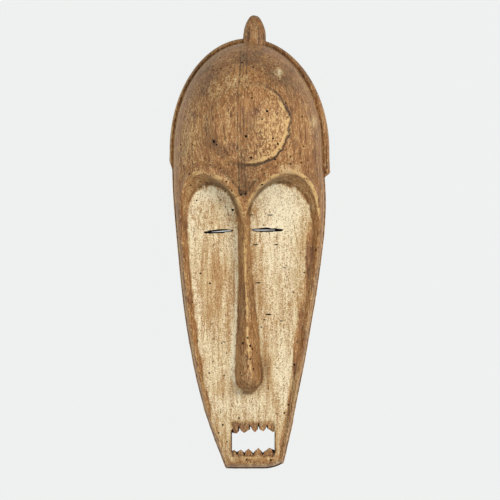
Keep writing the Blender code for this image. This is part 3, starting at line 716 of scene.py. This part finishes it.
def tapered_prism(name, front, back, front_z, back_z, material):
    """A closed cutter between two outlines of as many points each: a flat face, extruded and moved."""
    mesh = bpy.data.meshes.new(name)
    mesh.from_pydata([(x, y, back_z) for x, y in back], [], [tuple(range(len(back)))])
    obj = bpy.data.objects.new(name, mesh)
    bpy.context.collection.objects.link(obj)
    only(obj)
    bpy.ops.object.mode_set(mode="EDIT")
    bpy.ops.mesh.select_all(action="SELECT")
    bpy.ops.mesh.extrude_region_move(TRANSFORM_OT_translate={"value": (0.0, 0.0, front_z - back_z)})
    bm = bmesh.from_edit_mesh(mesh)
    raised = [v for v in bm.verts if v.select]
    for vert in raised:
        below = next(e.other_vert(vert) for e in vert.link_edges if not e.other_vert(vert).select)
        vert.co = (*front[below.index], front_z)
    bpy.ops.mesh.select_all(action="SELECT")
    bpy.ops.mesh.quads_convert_to_tris()
    bpy.ops.mesh.normals_make_consistent(inside=False)
    bpy.ops.object.mode_set(mode="OBJECT")
    mesh.materials.append(material)
    return obj


def slit_outline(middle, half_length, half_height, tilt, seed, nibbled):
    """A long narrow ellipse whose edge is uneven by a share of its height."""
    points = []
    for i in range(2 * SLIT_SIDES):
        turn = math.pi * i / SLIT_SIDES
        uneven = 1.0 + nibbled * (2.0 * chance(i, 0, seed) - 1.0)
        along = half_length * math.cos(turn)
        over = half_height * uneven * math.sin(turn)
        points.append((
            middle[0] + along * math.cos(tilt) - over * math.sin(tilt),
            middle[1] + along * math.sin(tilt) + over * math.cos(tilt),
        ))
    return points


def eye_slit(middle, half_length, half_height, tilt, back_share, back_z, seed, material):
    """A slit that has its full size at the face and narrows to a crack behind."""
    taper = (1.0 - back_share) / (SLIT_FRONT_Z - back_z)
    grown = 1.0 + taper * (SLIT_TOP_Z - SLIT_FRONT_Z)
    front_length = half_length * (1.0 + SLIT_FLARE * (grown - 1.0))
    front = slit_outline(middle, front_length, half_height * grown, tilt, seed, SLIT_FRONT_UNEVEN)
    behind = (middle[0] - SLIT_LEAN, middle[1])
    back_length, back_height = half_length * SLIT_BACK_LENGTH, half_height * back_share
    back = slit_outline(behind, back_length, back_height, tilt, seed + 3, SLIT_BACK_UNEVEN)
    return tapered_prism("eye_slit", front, back, SLIT_TOP_Z, back_z, material)


def between(ends, middles):
    """Takes from two lists in turn, starting and ending with the first."""
    points = [ends[0]]
    for middle, end in zip(middles, ends[1:]):
        points += [middle, end]
    return points


def mouth_opening(material):
    """The see-through opening between the two rows of teeth."""
    outline = [
        (MOUTH_LEFT, UPPER_TIPS[0][1] + 0.0005), *between(UPPER_TIPS, UPPER_VALLEYS),
        (MOUTH_RIGHT, UPPER_TIPS[-1][1] + 0.0006), (MOUTH_RIGHT, LOWER_TIPS[0][1] - 0.0030),
        *between(LOWER_TIPS, LOWER_VALLEYS), (MOUTH_LEFT, LOWER_TIPS[-1][1] - 0.0008),
    ]
    return tapered_prism("mouth_opening", outline, outline, MOUTH_FRONT_Z, MOUTH_BACK_Z, material)


def notch(root, valley, material):
    """The slanted cut between two teeth, from the gum in front to the valley behind."""
    up = math.copysign(1.0, root[1] - valley[1])
    foot_y = valley[1] - up * 0.0022
    front = [(root[0] - 0.0006, root[1]), (root[0] + 0.0006, root[1]),
             (valley[0] + NOTCH_HALF_WIDTH, foot_y), (valley[0] - NOTCH_HALF_WIDTH, foot_y)]
    back = [(valley[0] - 0.0004, valley[1]), (valley[0] + 0.0004, valley[1]),
            (valley[0] + 0.0009, foot_y), (valley[0] - 0.0009, foot_y)]
    return tapered_prism("notch", front, back, NOTCH_FRONT_Z, NOTCH_BACK_Z, material)


def knob(material):
    """The rounded knob that stands up from the crown, with a small chip at its tip."""
    bpy.ops.mesh.primitive_uv_sphere_add(segments=48, ring_count=36, radius=1.0)
    obj = bpy.context.object
    obj.name = "crown_knob"
    round_ones = coordinates(obj.data)
    places = round_ones * KNOB_RADII + (KNOB_X, KNOB_TIP_Y - KNOB_RADII[1], KNOB_Z)
    places += round_ones * 0.0009 * scoops(places[:, 0], places[:, 1], 0.006, 0.012, 71)[:, None]
    chip = np.linalg.norm(places - KNOB_CHIP, axis=1)
    places[:, 1] -= 0.0016 * bell(chip / 0.0032)
    obj.data.vertices.foreach_set("co", places.ravel())
    obj.data.materials.append(material)
    return obj


def surface_normal(x, y):
    step = 0.0015
    slope_x = (front_height(x + step, y) - front_height(x - step, y)) / (2.0 * step)
    slope_y = (front_height(x, y + step) - front_height(x, y - step)) / (2.0 * step)
    return Vector((-slope_x, -slope_y, 1.0)).normalized()


def beetle_holes(material):
    """Round flight holes, square to the surface: one eight-sided pit, copied to each place."""
    bpy.ops.mesh.primitive_cone_add(
        vertices=HOLE_SIDES, radius1=0.55, radius2=1.0, depth=1.0, end_fill_type="NGON",
    )
    pit = bpy.context.object
    pit.data.materials.append(material)
    copies = []
    for x, y, radius in BEETLE_HOLES:
        x, y, radius = x / 1000.0, y / 1000.0, radius / 1000.0 + HOLE_WEAR
        here = np.array([x]), np.array([y])
        normal = surface_normal(*(float(v[0]) for v in here))
        place = Vector((x, y, float(front_height(*here)[0]))) - normal * (HOLE_DEPTH / 2.0 - 0.0008)
        turn = normal.to_track_quat("Z", "Y").to_matrix().to_4x4()
        copy = bpy.data.objects.new("beetle_hole", pit.data.copy())
        size = Matrix.Diagonal((radius, radius, HOLE_DEPTH, 1.0))
        copy.data.transform(Matrix.Translation(place) @ turn @ size)
        bpy.context.collection.objects.link(copy)
        copies.append(copy)
    bpy.data.objects.remove(pit)
    return copies


def cross_cuts(material):
    """Short knife cuts across the grain: a spindle-shaped pit for each."""
    made = []
    for x, y, length, tall, turn in CROSS_CUTS:
        x, y, half, tall = x / 1000.0, y / 1000.0, length / 2000.0, tall / 2000.0
        top = float(front_height(np.array([x]), np.array([y]))[0])
        spindle = [(-1.0, 0.0), (-0.5, -0.9), (0.35, -1.0), (1.0, 0.1), (0.4, 1.0), (-0.4, 0.8)]
        cos, sin = math.cos(math.radians(turn)), math.sin(math.radians(turn))
        outline = [(half * u * cos - tall * v * sin, half * u * sin + tall * v * cos) for u, v in spindle]
        front = [(x + 1.35 * u, y + 1.7 * v) for u, v in outline]
        back = [(x + 0.6 * u, y + 0.4 * v) for u, v in outline]
        made.append(tapered_prism("cross_cut", front, back, top + 0.0012, top - CUT_DEPTH, material))
    return made


def linear(code):
    """An sRGB hex colour as linear RGBA."""
    parts = [int(code[i : i + 2], 16) / 255.0 for i in (1, 3, 5)]
    return (*[c / 12.92 if c <= 0.04045 else ((c + 0.055) / 1.055) ** 2.4 for c in parts], 1.0)


def fill(tree, node, inputs):
    """Links each of a node's inputs to a socket, or sets it to a value."""
    for key, value in inputs.items():
        if isinstance(value, bpy.types.NodeSocket):
            tree.links.new(value, node.inputs[key])
        else:
            node.inputs[key].default_value = value


def add(tree, kind, inputs=(), **settings):
    """Adds a node, sets what it has and links or fills its inputs."""
    made = tree.nodes.new("ShaderNode" + kind)
    for name, value in settings.items():
        setattr(made, name, value)
    fill(tree, made, dict(inputs))
    return made


# Sockets of the Mix node when it mixes colours
MIX_SHARE, MIX_FROM, MIX_TO, MIX_RESULT = 0, 6, 7, 2


def new_material(name):
    material = bpy.data.materials.new(name)
    material.use_nodes = True
    return material, material.node_tree, material.node_tree.nodes["Principled BSDF"]


def wood_noise(tree, place, across, along, detail, distortion=0.0):
    """Noise stretched along the grain: features of about the given millimetres."""
    per_metre = (1000.0 / across, 1000.0 / along, 1000.0 / across)
    pitch = add(tree, "Mapping", {"Vector": place, "Scale": per_metre})
    return add(tree, "TexNoise", {
        "Vector": pitch.outputs["Vector"], "Scale": 1.0, "Detail": detail,
        "Roughness": 0.55, "Distortion": distortion,
    }).outputs["Fac"]


def mixed(tree, share, start, end):
    """A colour between two others, each given as a socket or an sRGB hex code."""
    start, end = (linear(c) if isinstance(c, str) else c for c in (start, end))
    inputs = {MIX_SHARE: share, MIX_FROM: start, MIX_TO: end}
    return add(tree, "Mix", inputs, data_type="RGBA").outputs[MIX_RESULT]


def levels(tree, value, low, high, most=1.0):
    """An S from 0 where the value is low to the most where it is high, level beyond both."""
    return add(tree, "MapRange", {
        "Value": value, "From Min": low, "From Max": high, "To Min": 0.0, "To Max": most,
    }, interpolation_type="SMOOTHSTEP").outputs["Result"]


def layered(tree, under, layers):
    """Lays colours over one another, each (value, low, high, most, colour), where its value is high."""
    for value, low, high, most, colour in layers:
        under = mixed(tree, levels(tree, value, low, high, most), under, colour)
    return under


def total(tree, *terms):
    """The sum of (socket, factor) pairs."""
    result = 0.0
    for value, factor in terms:
        result = add(tree, "Math", {0: value, 1: factor, 2: result}, operation="MULTIPLY_ADD").outputs[0]
    return result


def painted_wood():
    """Light equatorial wood, knife-finished, browned by smoke and handling, with rubbed white clay.

    The eye sees vertical grain with open dark pores and pale fibres, a golden shine where hands wore it,
    smoke patches, and clay that is thick and pale in places and a thin tan film in others. The golden shine
    also holds painted highlights and painted light, the smoke holds painted shade, and the palest clay holds
    painted highlights.
    """
    material, tree, shader = new_material("knife_finished_wood_with_white_clay")
    place = add(tree, "TexCoord").outputs["Object"]
    fields = ("clay", "wear_and_painted_light", "soot_and_shade")
    clay, wear_and_painted_light, soot_and_shade = (add(tree, "Attribute", attribute_name=n).outputs["Fac"] for n in fields)
    fibre, pores, streak, mottle, blotch, speckle, grit = (wood_noise(tree, place, *noise) for noise in (
        (1.3, 6.5, 2.0), (2.0, 24.0, 3.0), (5.0, 60.0, 2.0), (11.0, 17.0, 3.0, 0.6), (30.0, 42.0, 2.0, 0.8),
        (1.9, 2.5, 2.0), (1.2, 1.5, 2.0),
    ))

    # The gold holds wear and painted highlights; the dark layer holds smoke and painted shade.
    gold = total(tree, (wear_and_painted_light, 1.0), (fibre, 1.6), (speckle, 1.5), (mottle, 0.5))
    dirt_and_shade = total(tree, (soot_and_shade, 1.0), (mottle, 0.8), (speckle, 0.9), (pores, -0.6))
    wood = layered(tree, "#8F6039", (
        (streak, 0.35, 0.65, 1.0, "#B28150"), (mottle, 0.38, 0.66, 0.8, "#A87645"),
        (blotch, 0.50, 0.34, 0.65, "#80593D"), (fibre, 0.54, 0.70, 0.80, "#D9AC77"),
        (pores, 0.48, 0.30, 0.85, "#553823"), (speckle, 0.41, 0.24, 0.80, "#462E1F"),
        (gold, 2.00, 2.45, 1.0, mixed(tree, speckle, "#C79A5E", "#F0CE92")),
        (dirt_and_shade, 0.60, 1.60, 1.0, "#402A1E"),
    ))

    cover = total(
        tree, (clay, 1.0), (fibre, 0.5), (pores, 0.6), (streak, 0.45), (speckle, 0.6), (mottle, 0.40),
        (grit, 1.5),
    )
    film = levels(tree, cover, 2.10, 2.43)
    thick = levels(tree, cover, 2.45, 3.11)
    film_colour = mixed(tree, levels(tree, streak, 0.38, 0.62), "#B88F5C", "#D1B484")
    cracks = total(tree, (fibre, 0.7), (grit, 0.9), (film, -0.06))
    # Dark on the clay from smoke together with painted shade.
    grime_and_shade = total(tree, (soot_and_shade, 1.0), (speckle, 1.2), (fibre, 0.8))
    clayed = mixed(tree, thick, mixed(tree, film, wood, film_colour), "#F8ECCB")
    colour = layered(tree, clayed, (
        (cracks, 0.66, 0.50, 0.70, "#65462C"), (grime_and_shade, 1.20, 1.75, 0.6, "#5E4A35"),
    ))

    relief = total(tree, (pores, 0.5), (fibre, 0.45), (speckle, 0.35), (thick, 0.2))
    bump = add(tree, "Bump", {"Height": relief, "Strength": 0.85, "Distance": 0.0011})
    rough = total(tree, (film, 0.25), (speckle, 0.35), (wear_and_painted_light, -0.10))
    rough = add(tree, "Math", {0: rough, 1: 0.32}, operation="ADD").outputs[0]
    fill(tree, shader, {
        "Base Color": colour, "Roughness": rough, "IOR": 1.5, "Specular IOR Level": 0.24, "Metallic": 0.0,
        "Normal": bump.outputs["Normal"],
    })
    return material


def gouged_wood():
    """The hollow's wood as the gouge left it: matt, unpainted and darkened by breath and hands."""
    material, tree, shader = new_material("gouged_wood")
    place = add(tree, "TexCoord").outputs["Object"]
    pores = wood_noise(tree, place, 2.2, 30.0, 3.0)
    mottle = wood_noise(tree, place, 22.0, 40.0, 3.0)
    colour = layered(tree, "#6B4B34", (
        (mottle, 0.35, 0.65, 1.0, "#8E6848"), (pores, 0.55, 0.35, 0.5, "#4A3222"),
    ))
    bump = add(tree, "Bump", {"Height": pores, "Strength": 0.6, "Distance": 0.0006})
    fill(tree, shader, {"Base Color": colour, "Roughness": 0.78, "Normal": bump.outputs["Normal"]})
    return material


def old_cut_wood(name, dark, light):
    """Old cuts and beetle tunnels: crumbly end grain filled with dusty, dirty crumbs, so dark and dull; their
    very dark colours also stand as painted shade on the shaded walls of the cuts, holes, notches, mouth and
    eye slits.
    """
    material, tree, shader = new_material(name)
    place = add(tree, "TexCoord").outputs["Object"]
    colour = mixed(tree, wood_noise(tree, place, 1.2, 1.6, 2.0), dark, light)
    fill(tree, shader, {"Base Color": colour, "Roughness": 0.9, "Specular IOR Level": 0.15})
    return material


def patches(x, y, spots):
    """Sums soft oval patches, each (x, y, reach across, reach along, strength) in millimetres."""
    total = np.zeros_like(x)
    for middle_x, middle_y, across, along, strength in spots:
        u = (x * 1000.0 - middle_x) / across
        v = (y * 1000.0 - middle_y) / along
        total += strength * np.exp(-(u**2 + v**2))
    return total


def mouth_sides(x, y):
    """1 on the bare strips of wood beside the mouth's opening."""
    beside = np.minimum(np.abs(x - MOUTH_LEFT + 0.0004), np.abs(x - MOUTH_RIGHT - 0.0004))
    above_foot = smooth((y - LOWER_NOTCH_ROOTS[0][1]) / 0.002)
    below_top = smooth((UPPER_NOTCH_ROOTS[0][1] - y) / 0.002)
    return bell(beside / 0.0016) * (above_foot * below_top)


def clay_and_highlight_field(x, y):
    """How much white clay is left, 0 to 1: in the eye hollows, on the cheeks and round the mouth, with pale
    painted highlights on the head and painted light on shaded bevels added.
    """
    edge_noise = 0.0016 * drift(x, y, 0.005, 0.018, 81) + 0.0012 * drift(x, y, 0.0025, 0.004, 82)
    from_left = x + edge_noise - clay_left(y)
    from_right = clay_right(y) - x - edge_noise
    above = (1.0 - past_nearer(x, y, FLOOR_ARCHES)) * 0.035 + edge_noise
    inside = np.where(y > SPRING_Y, above, np.minimum(from_left, from_right))
    face = smooth(inside / 0.0026 + 0.4) * smooth((y + 0.2690) / 0.006)

    off = past_nose(x, y)[0]
    ragged = 0.10 * drift(x, y, 0.0022, 0.0040, 84)
    creep = 0.10 * smooth((NOSE_TIP_Y + 0.010 - y) / 0.008)
    below_nose = smooth((NOSE_TIP_Y + 0.0020 - y) / 0.003)
    beside_nose = np.maximum(smooth((np.abs(off) + ragged + creep - 0.98) / 0.10), below_nose)
    beside_nose = np.where(y > SPRING_Y + 0.03, 1.0, beside_nose)
    in_mouth = 1.0 - 0.92 * lip_sink(x, y) / LIP_DEPTH
    strength = 0.66 + patches(x, y, (
        (36, 45, 26, 22, 0.34), (30, 18, 22, 12, 0.20), (-47, 60, 22, 10, 0.26), (-70, 30, 6, 30, 0.18),
        (-24, 25, 6, 26, 0.16), (-38, 28, 14, 16, -0.10), (66, 0, 7, 40, -0.22), (30, -20, 24, 30, 0.16),
        (47, -25, 6, 40, 0.14), (-48, -60, 16, 40, -0.12), (-66, -60, 5, 70, 0.14), (-62, -130, 5, 40, 0.10),
        (10, -60, 6, 60, -0.18), (22, -150, 10, 34, -0.26), (40, -150, 10, 40, 0.16),
        (-32, -178, 12, 10, -0.16), (-20, -196, 26, 12, 0.08), (16, -196, 26, 12, 0.04),
        (-44, -34, 22, 24, -0.18), (30, -30, 26, 30, -0.06), (-36, -235, 9, 24, -0.16),
        (38, -240, 9, 24, -0.12), (4, -266, 34, 7, -0.5), (-27, -240, 5, 14, -0.16),
        (36, -240, 5, 14, -0.14), (-34, 58, 14, 20, -0.06), (13, 30, 7, 20, -0.10), (58, -70, 8, 50, -0.1),
        (-34, -100, 10, 40, -0.08),
    ))
    white_line = bell((off + 1.14) / 0.16) * smooth((y + 0.176) / 0.012) * smooth((0.020 - y) / 0.012)
    white_line *= 0.8 + 0.5 * drift(x, y, 0.004, 0.014, 83)
    # Pale scuffs together with painted highlights, among them the bright glint high on the head's right and
    # the gloss left of the disc.
    pale_scuffs_and_highlights = patches(x, y, (
        (-44, 178, 9, 8, 0.26), (-26, 191, 12, 6, 0.32), (-6, 198, 9, 4, 0.26), (36, 205, 4, 6, 0.90),
        (-22, 140, 7, 16, 0.22), (78, 146, 3, 6, 0.45),
        (46, 86, 10, 7, 0.40), (28, 70, 9, 7, 0.25), (-36, 76, 9, 5, 0.22),
    ))
    # Painted light: pale clay lightening the shaded slopes under the brows and the rims' inner bevels.
    bevel_light = 0.20 * under_brows(x, y)
    bevel_light += patches(x, y, ((53, -182, 7, 28, 0.34), (44, -232, 5, 22, 0.24), (70, -80, 4, 50, 0.12)))
    bare = in_mouth * (1.0 - 0.9 * mouth_sides(x, y))
    clay = face * beside_nose * bare * strength + 0.5 * white_line * face + bevel_light * (1.0 - face)
    return np.clip(clay + pale_scuffs_and_highlights, 0.0, 1.0)


def wear_and_light_field(x, y, convex):
    """Where handling polished the wood golden, together with painted highlights and painted light on lit
    edges and planes.
    """
    off = past_nose(x, y)[0]
    on_nose = (y < 0.02) & (y > NOSE_TIP_Y)
    # The nose's ridge: golden wear together with a painted highlight along it.
    ridge_bends = 0.06 * drift(x * 0.0, y, 1.0, 0.014, 85)
    ridge_bends = ridge_bends + 0.22 * smooth((-0.115 - y) / 0.050)
    broken = 0.70 + 0.55 * drift(x * 0.0, y, 1.0, 0.009, 86) - 0.45 * smooth((-0.150 - y) / 0.012)
    ridge = bell((off - 0.02 - ridge_bends) / 0.085) * on_nose * broken
    # The brows' edges: golden wear together with a painted highlight, stronger on the right brow.
    band = bell((past_nearer(x, y, BROW_ARCHES) - 1.025) / 0.035) * smooth((y - SPRING_Y + 0.004) / 0.020)
    broken_band = 1.0 + 0.8 * drift(x, y, 0.006, 0.004, 87) + 0.5 * drift(x, y, 0.0022, 0.0022, 88)
    bands = band * np.where(x > 0.0, 0.60, 0.15) * np.clip(broken_band, 0.0, 1.6)
    # The disc's right side polished gold, and a painted highlight just inside its sharp edge.
    disc = smooth(-past_disc(x, y) / 0.003) * smooth(disc_sharpness(x, y) * 1.8 - 0.75)
    lit_edge = bell((past_disc(x, y) + 0.0024) / 0.0020) * smooth(disc_sharpness(x, y) * 3.0 - 1.6)
    lit_edge *= 0.9 + 1.2 * drift(x, y, 0.006, 0.004, 89) + 0.3 * smooth((DISC_Y - 0.010 - y) / 0.010)
    # Wear patches, among them painted highlights on the disc's left side and on the left brow, and painted
    # light on the forehead's left.
    spots = patches(x, y, (
        (-25, 142, 12, 30, 0.20), (-72, 124, 13, 44, 0.34), (72, 135, 12, 34, 0.12), (43, 87, 9, 4, 0.35),
        (-36, 77, 7, 2.5, 0.6), (-62, 84, 8, 3, 0.3), (-14, 50, 3, 10, 0.4), (2, -165, 9, 14, 0.05),
        (4, -265, 20, 4, 0.2), (-16, 190, 14, 8, 0.14), (10, 66, 5, 8, 0.2), (75, 143, 3, 5, 0.4),
        (2, -261, 20, 1.5, 0.5),
    ))
    # Painted light on the rims, lightening their shaded slopes, with some wear.
    to_rim = share_to_edge(x, unlifted(x, y))
    rims = np.where(x < 0.0, 0.26, 0.14) * smooth((to_rim - 0.88) / 0.04) * smooth((0.02 - y) / 0.03)
    # Painted light on both planes of the nose, more on the right plane than the left.
    nose_plane_light = 0.10 * smooth((-off - 0.2) / 0.2) * smooth((off + 0.9) / 0.1) * on_nose
    right_plane = 0.20 * smooth((off - 0.1) / 0.2) * smooth((0.98 - off) / 0.1)
    nose_plane_light += right_plane * on_nose * smooth((y + 0.150) / 0.03)
    # Painted highlights together with wear on the convex bumps and edges.
    patchy = np.clip(0.9 + 1.2 * drift(x, y, 0.006, 0.005, 91), 0.0, 1.5)
    lit_corners = np.where(x > -0.006, 0.32, 0.24) * convex * patchy
    gold = 0.75 * ridge + bands + 0.34 * disc + 0.45 * lit_edge + spots + rims + nose_plane_light + lit_corners
    return np.clip(gold, 0.0, 1.0)


def smoke_and_shade_field(x, y, concave):
    """Where smoke and soiling darkened the wood, with painted shade mixed in: a painted shadow outside the
    disc's step and painted shade under the brows, on the nose's left plane, in the sunk lip field and beside
    the mouth.
    """
    outside = past_disc(x, y)
    # A painted shadow along the outside of the disc's sharp step.
    disc_step_shadow = bell((outside - 0.0012) / 0.0013) * smooth(disc_sharpness(x, y) * 3.0 - 1.7)
    disc_step_shadow *= 0.8 + 0.8 * drift(x, y, 0.005, 0.005, 90)
    floor_edge = bell((past_nearer(x, y, FLOOR_ARCHES) - 1.05) / 0.05) * smooth((y - SPRING_Y) / 0.02)
    off = past_nose(x, y)[0]
    # Painted shade on the nose's left plane.
    nose_left_shade = bell((off + 0.62) / 0.30) * (y < 0.03) * (y > NOSE_TIP_Y)
    grooves = np.zeros_like(x)
    for groove in RIDGE_GROOVES:
        grooves += bell((x - nose_line(y) - groove) / 0.0010) * smooth((y - 0.047) / 0.030)
    # The sunk lip field, darkened below as painted shade.
    lips = lip_sink(x, y) / LIP_DEPTH
    spots = patches(x, y, (
        (-46, 205, 26, 18, 0.34), (0, 220, 26, 14, 0.44), (36, 200, 24, 18, 0.48), (-56, 180, 12, 18, 0.26),
        (50, 172, 8, 22, 0.26), (-50, 125, 9, 26, 0.26), (-42, 120, 4, 6, 0.5), (0, 68, 20, 14, 0.42),
        (55, 100, 12, 16, 0.15), (2, 135, 12, 26, 0.24), (4, 95, 26, 6, 0.26), (-8, 59, 5, 3, 0.4),
        (24, -150, 9, 30, 0.12), (-2, -176, 16, 10, 0.26), (-20, -183, 8, 5, 0.3), (8.5, 274.5, 4, 3, 0.8),
        (94, 84, 3, 5, 0.7), (-24, -270, 10, 6, 0.15), (-23, 86, 10, 7, 0.18), (0, 135, 10, 30, 0.10),
        (3, -160, 14, 22, 0.20), (6, 260, 16, 16, 0.34), (-20, 92, 16, 8, 0.16), (15, -110, 5, 34, 0.24),
        (20, -158, 6, 26, 0.32), (8, -58, 4, 16, 0.20), (-10, -188, 8, 6, 0.30),
    ))
    # Painted shadow at the disc, a darker line at the floors' edges, painted shade under the brows and on the
    # nose's left plane, and darker grooves.
    lines = 0.65 * disc_step_shadow + 0.20 * floor_edge + 0.04 * under_brows(x, y) + 0.06 * nose_left_shade
    lines = lines + 0.20 * grooves
    # Painted shade on the strips beside the mouth's opening; darker at the rims' outer edges, at the chin's
    # foot and in hollows.
    rim_foot = smooth((share_to_edge(x, unlifted(x, y)) - 0.950) / 0.03) * smooth((0.02 - y) / 0.03)
    chin_foot = smooth((-0.2655 - y) / 0.0050)
    lines += 0.60 * mouth_sides(x, y) + 0.16 * rim_foot + 0.10 * chin_foot
    return np.clip(lines + 0.24 * lips + spots + concave, 0.0, 1.0)


def paint_fields(obj):
    """Stores clay, wear and smoke on the mask's points, with painted highlights in the clay, painted
    highlights and painted light in the wear, and painted shade in the smoke.
    """
    x, y, z = coordinates(obj.data).T
    reach = 0.0024
    steps = ((reach, 0), (-reach, 0), (0, reach), (0, -reach))
    around = sum(front_height(x + u, y + v) for u, v in steps) / 4.0
    bulge = (front_height(x, y) - around) / 0.0006
    to_rim = share_to_edge(x, unlifted(x, y))
    inside = to_rim < 0.985
    on_front = (np.abs(front_height(x, y) - z) < 0.004) & inside
    off_rim = smooth((0.93 - to_rim) / 0.05)
    convex = np.clip(bulge - 0.25, 0.0, 1.0) * on_front * off_rim
    by_nose = (np.abs(past_nose(x, y)[0]) < 1.35) & (y < 0.03)
    concave = np.clip(-bulge - 0.25, 0.0, 1.0) * on_front * np.where(by_nose, 0.12, 0.45)
    # The band's groove, darkened below as painted shade.
    groove = band_share(x, y) * bell((z - shoulder_height(y) + 0.0030) / 0.0012) * ~inside
    # Wear and painted light on the sides and the band, less toward the crown.
    side_wear_and_light = 0.32 + 0.14 * (x < 0.0) * smooth((y - 0.08) / 0.02) - 0.15 * smooth((y - 0.06) / 0.03)
    side_wear_and_light = side_wear_and_light - 0.14 * smooth((y - 0.238) / 0.006)
    # Darker toward the crown and the knob.
    crown_darkening = 0.22 * smooth((y - 0.16) / 0.05) + 0.04 * smooth((y - 0.240) / 0.006)
    # The clay holds painted highlights, the wear holds painted highlights and painted light, and the smoke
    # holds painted shade.
    fields = {
        "clay": clay_and_highlight_field(x, y) * on_front,
        "wear_and_painted_light": wear_and_light_field(x, y, convex) * on_front + ~inside * side_wear_and_light,
        "soot_and_shade": smoke_and_shade_field(x, y, concave) * on_front + groove * 0.25 + ~inside * crown_darkening,
    }
    for name, values in fields.items():
        layer = obj.data.attributes.new(name, "FLOAT", "POINT")
        layer.data.foreach_set("value", np.clip(values, 0.0, 1.0).astype(np.float32))


def carved_mask():
    """The whole mask: block, knob and side wall, then the hollow, mouth, slits, holes and cuts taken out."""
    skin = painted_wood()
    hollow_wood = gouged_wood()
    # The cuts' and tunnels' dark colours stand as painted shade on the walls of the mouth, notches, eye
    # slits, holes and cuts.
    cut_wood = old_cut_wood("old_knife_cut", "#2C1C12", "#5A3E2A")
    bored_wood = old_cut_wood("beetle_tunnel", "#0E0805", "#21150D")

    mask = shaped_grid("carved_mask", COLUMNS, ROWS_BELOW_ARCH, ROWS_IN_ARCH, front_height)
    drop_walls(mask, side_rings, side_marks)
    mask.data.materials.append(skin)
    combine(mask, knob(skin), "UNION")

    hollow = shaped_grid(
        "hollow", HOLLOW_COLUMNS, HOLLOW_ROWS_BELOW_ARCH, HOLLOW_ROWS_IN_ARCH, hollow_height,
        inset=hollow_inset, low_end=HOLLOW_END_Y,
    )
    hollow.data.materials.append(hollow_wood)
    drop_walls(hollow, lambda x, y: [(0.0008, 0.012), (0.0, -HOLLOW_DEEP_BELOW_RIM)])
    combine(hollow, mouth_opening(cut_wood), "UNION")
    for seed, slit in enumerate(EYE_SLITS):
        combine(hollow, eye_slit(*slit, 91 + 7 * seed, bored_wood), "UNION")
    roots = UPPER_NOTCH_ROOTS + LOWER_NOTCH_ROOTS
    ends = (FIRST_UPPER_NOTCH_END, *UPPER_VALLEYS, FIRST_LOWER_NOTCH_END, *LOWER_VALLEYS)
    for root, valley in zip(roots, ends):
        combine(hollow, notch(root, valley, cut_wood), "UNION")
    tool = joined([hollow, *beetle_holes(bored_wood), *cross_cuts(bored_wood)])
    combine(mask, tool, "DIFFERENCE")

    paint_fields(mask)
    only(mask)
    bpy.ops.object.shade_smooth_by_angle(angle=math.radians(38))
    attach(mask, "root")
    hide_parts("mask")
    return mask


def pale_floor():
    """A plain pale sheet under the mask, glowing a little as lit paper does, so shadows stay soft."""
    bpy.ops.mesh.primitive_plane_add(size=80.0, location=(0.0, 0.0, -0.0004))
    floor = bpy.context.object
    floor.name = "pale_floor"
    material, tree, shader = new_material("pale_paper_sheet")
    fill(tree, shader, {
        "Base Color": linear("#1E1E1E"), "Roughness": 1.0, "Specular IOR Level": 0.0,
        "Emission Color": linear("#EFF1F0"), "Emission Strength": 0.985,
    })
    floor.data.materials.append(material)


# Where the soft boxes point
LIT_POINT = (0.0, 0.0, 0.05)


def soft_light(name, place, size, power, colour):
    """A square soft box, turned to the mask, that the camera doesn't see."""
    light = bpy.data.lights.new(name, "AREA")
    light.size = size
    light.energy = power
    light.color = colour
    lamp = bpy.data.objects.new(name, light)
    lamp.location = place
    lamp.rotation_euler = (Vector(LIT_POINT) - Vector(place)).to_track_quat("-Z", "Y").to_euler()
    lamp.visible_camera = False
    bpy.context.collection.objects.link(lamp)


def studio():
    world = bpy.data.worlds.new("pale_studio")
    world.use_nodes = True
    tree = world.node_tree
    fill(tree, tree.nodes["Background"], {"Color": linear("#EFF1F0"), "Strength": 0.30})
    bpy.context.scene.world = world
    soft_light("key_box", (0.95, 0.40, 1.45), 0.7, 17.0, (1.0, 0.97, 0.93))
    soft_light("fill_box", (-0.95, 0.30, 1.45), 1.0, 8.0, (0.96, 0.98, 1.0))
    soft_light("low_box", (0.1, -1.10, 1.40), 1.0, 6.5, (1.0, 1.0, 1.0))


# The camera looks straight down from far off; its frame is 605 mm wide at the face
CAMERA_HEIGHT = 12.0
FACE_HEIGHT = 0.075
FRAME_WIDTH = 0.605
SENSOR = 36.0


def camera():
    data = bpy.data.cameras.new("straight_above")
    data.sensor_width = SENSOR
    data.lens = SENSOR * CAMERA_HEIGHT / FRAME_WIDTH
    data.clip_end = 100.0
    eye = bpy.data.objects.new("straight_above", data)
    eye.location = (0.0004, -0.0097, FACE_HEIGHT + CAMERA_HEIGHT)
    bpy.context.collection.objects.link(eye)
    bpy.context.scene.camera = eye


camera()
carved_mask()
pale_floor()
studio()
bpy.context.scene.view_settings.view_transform = "Standard"
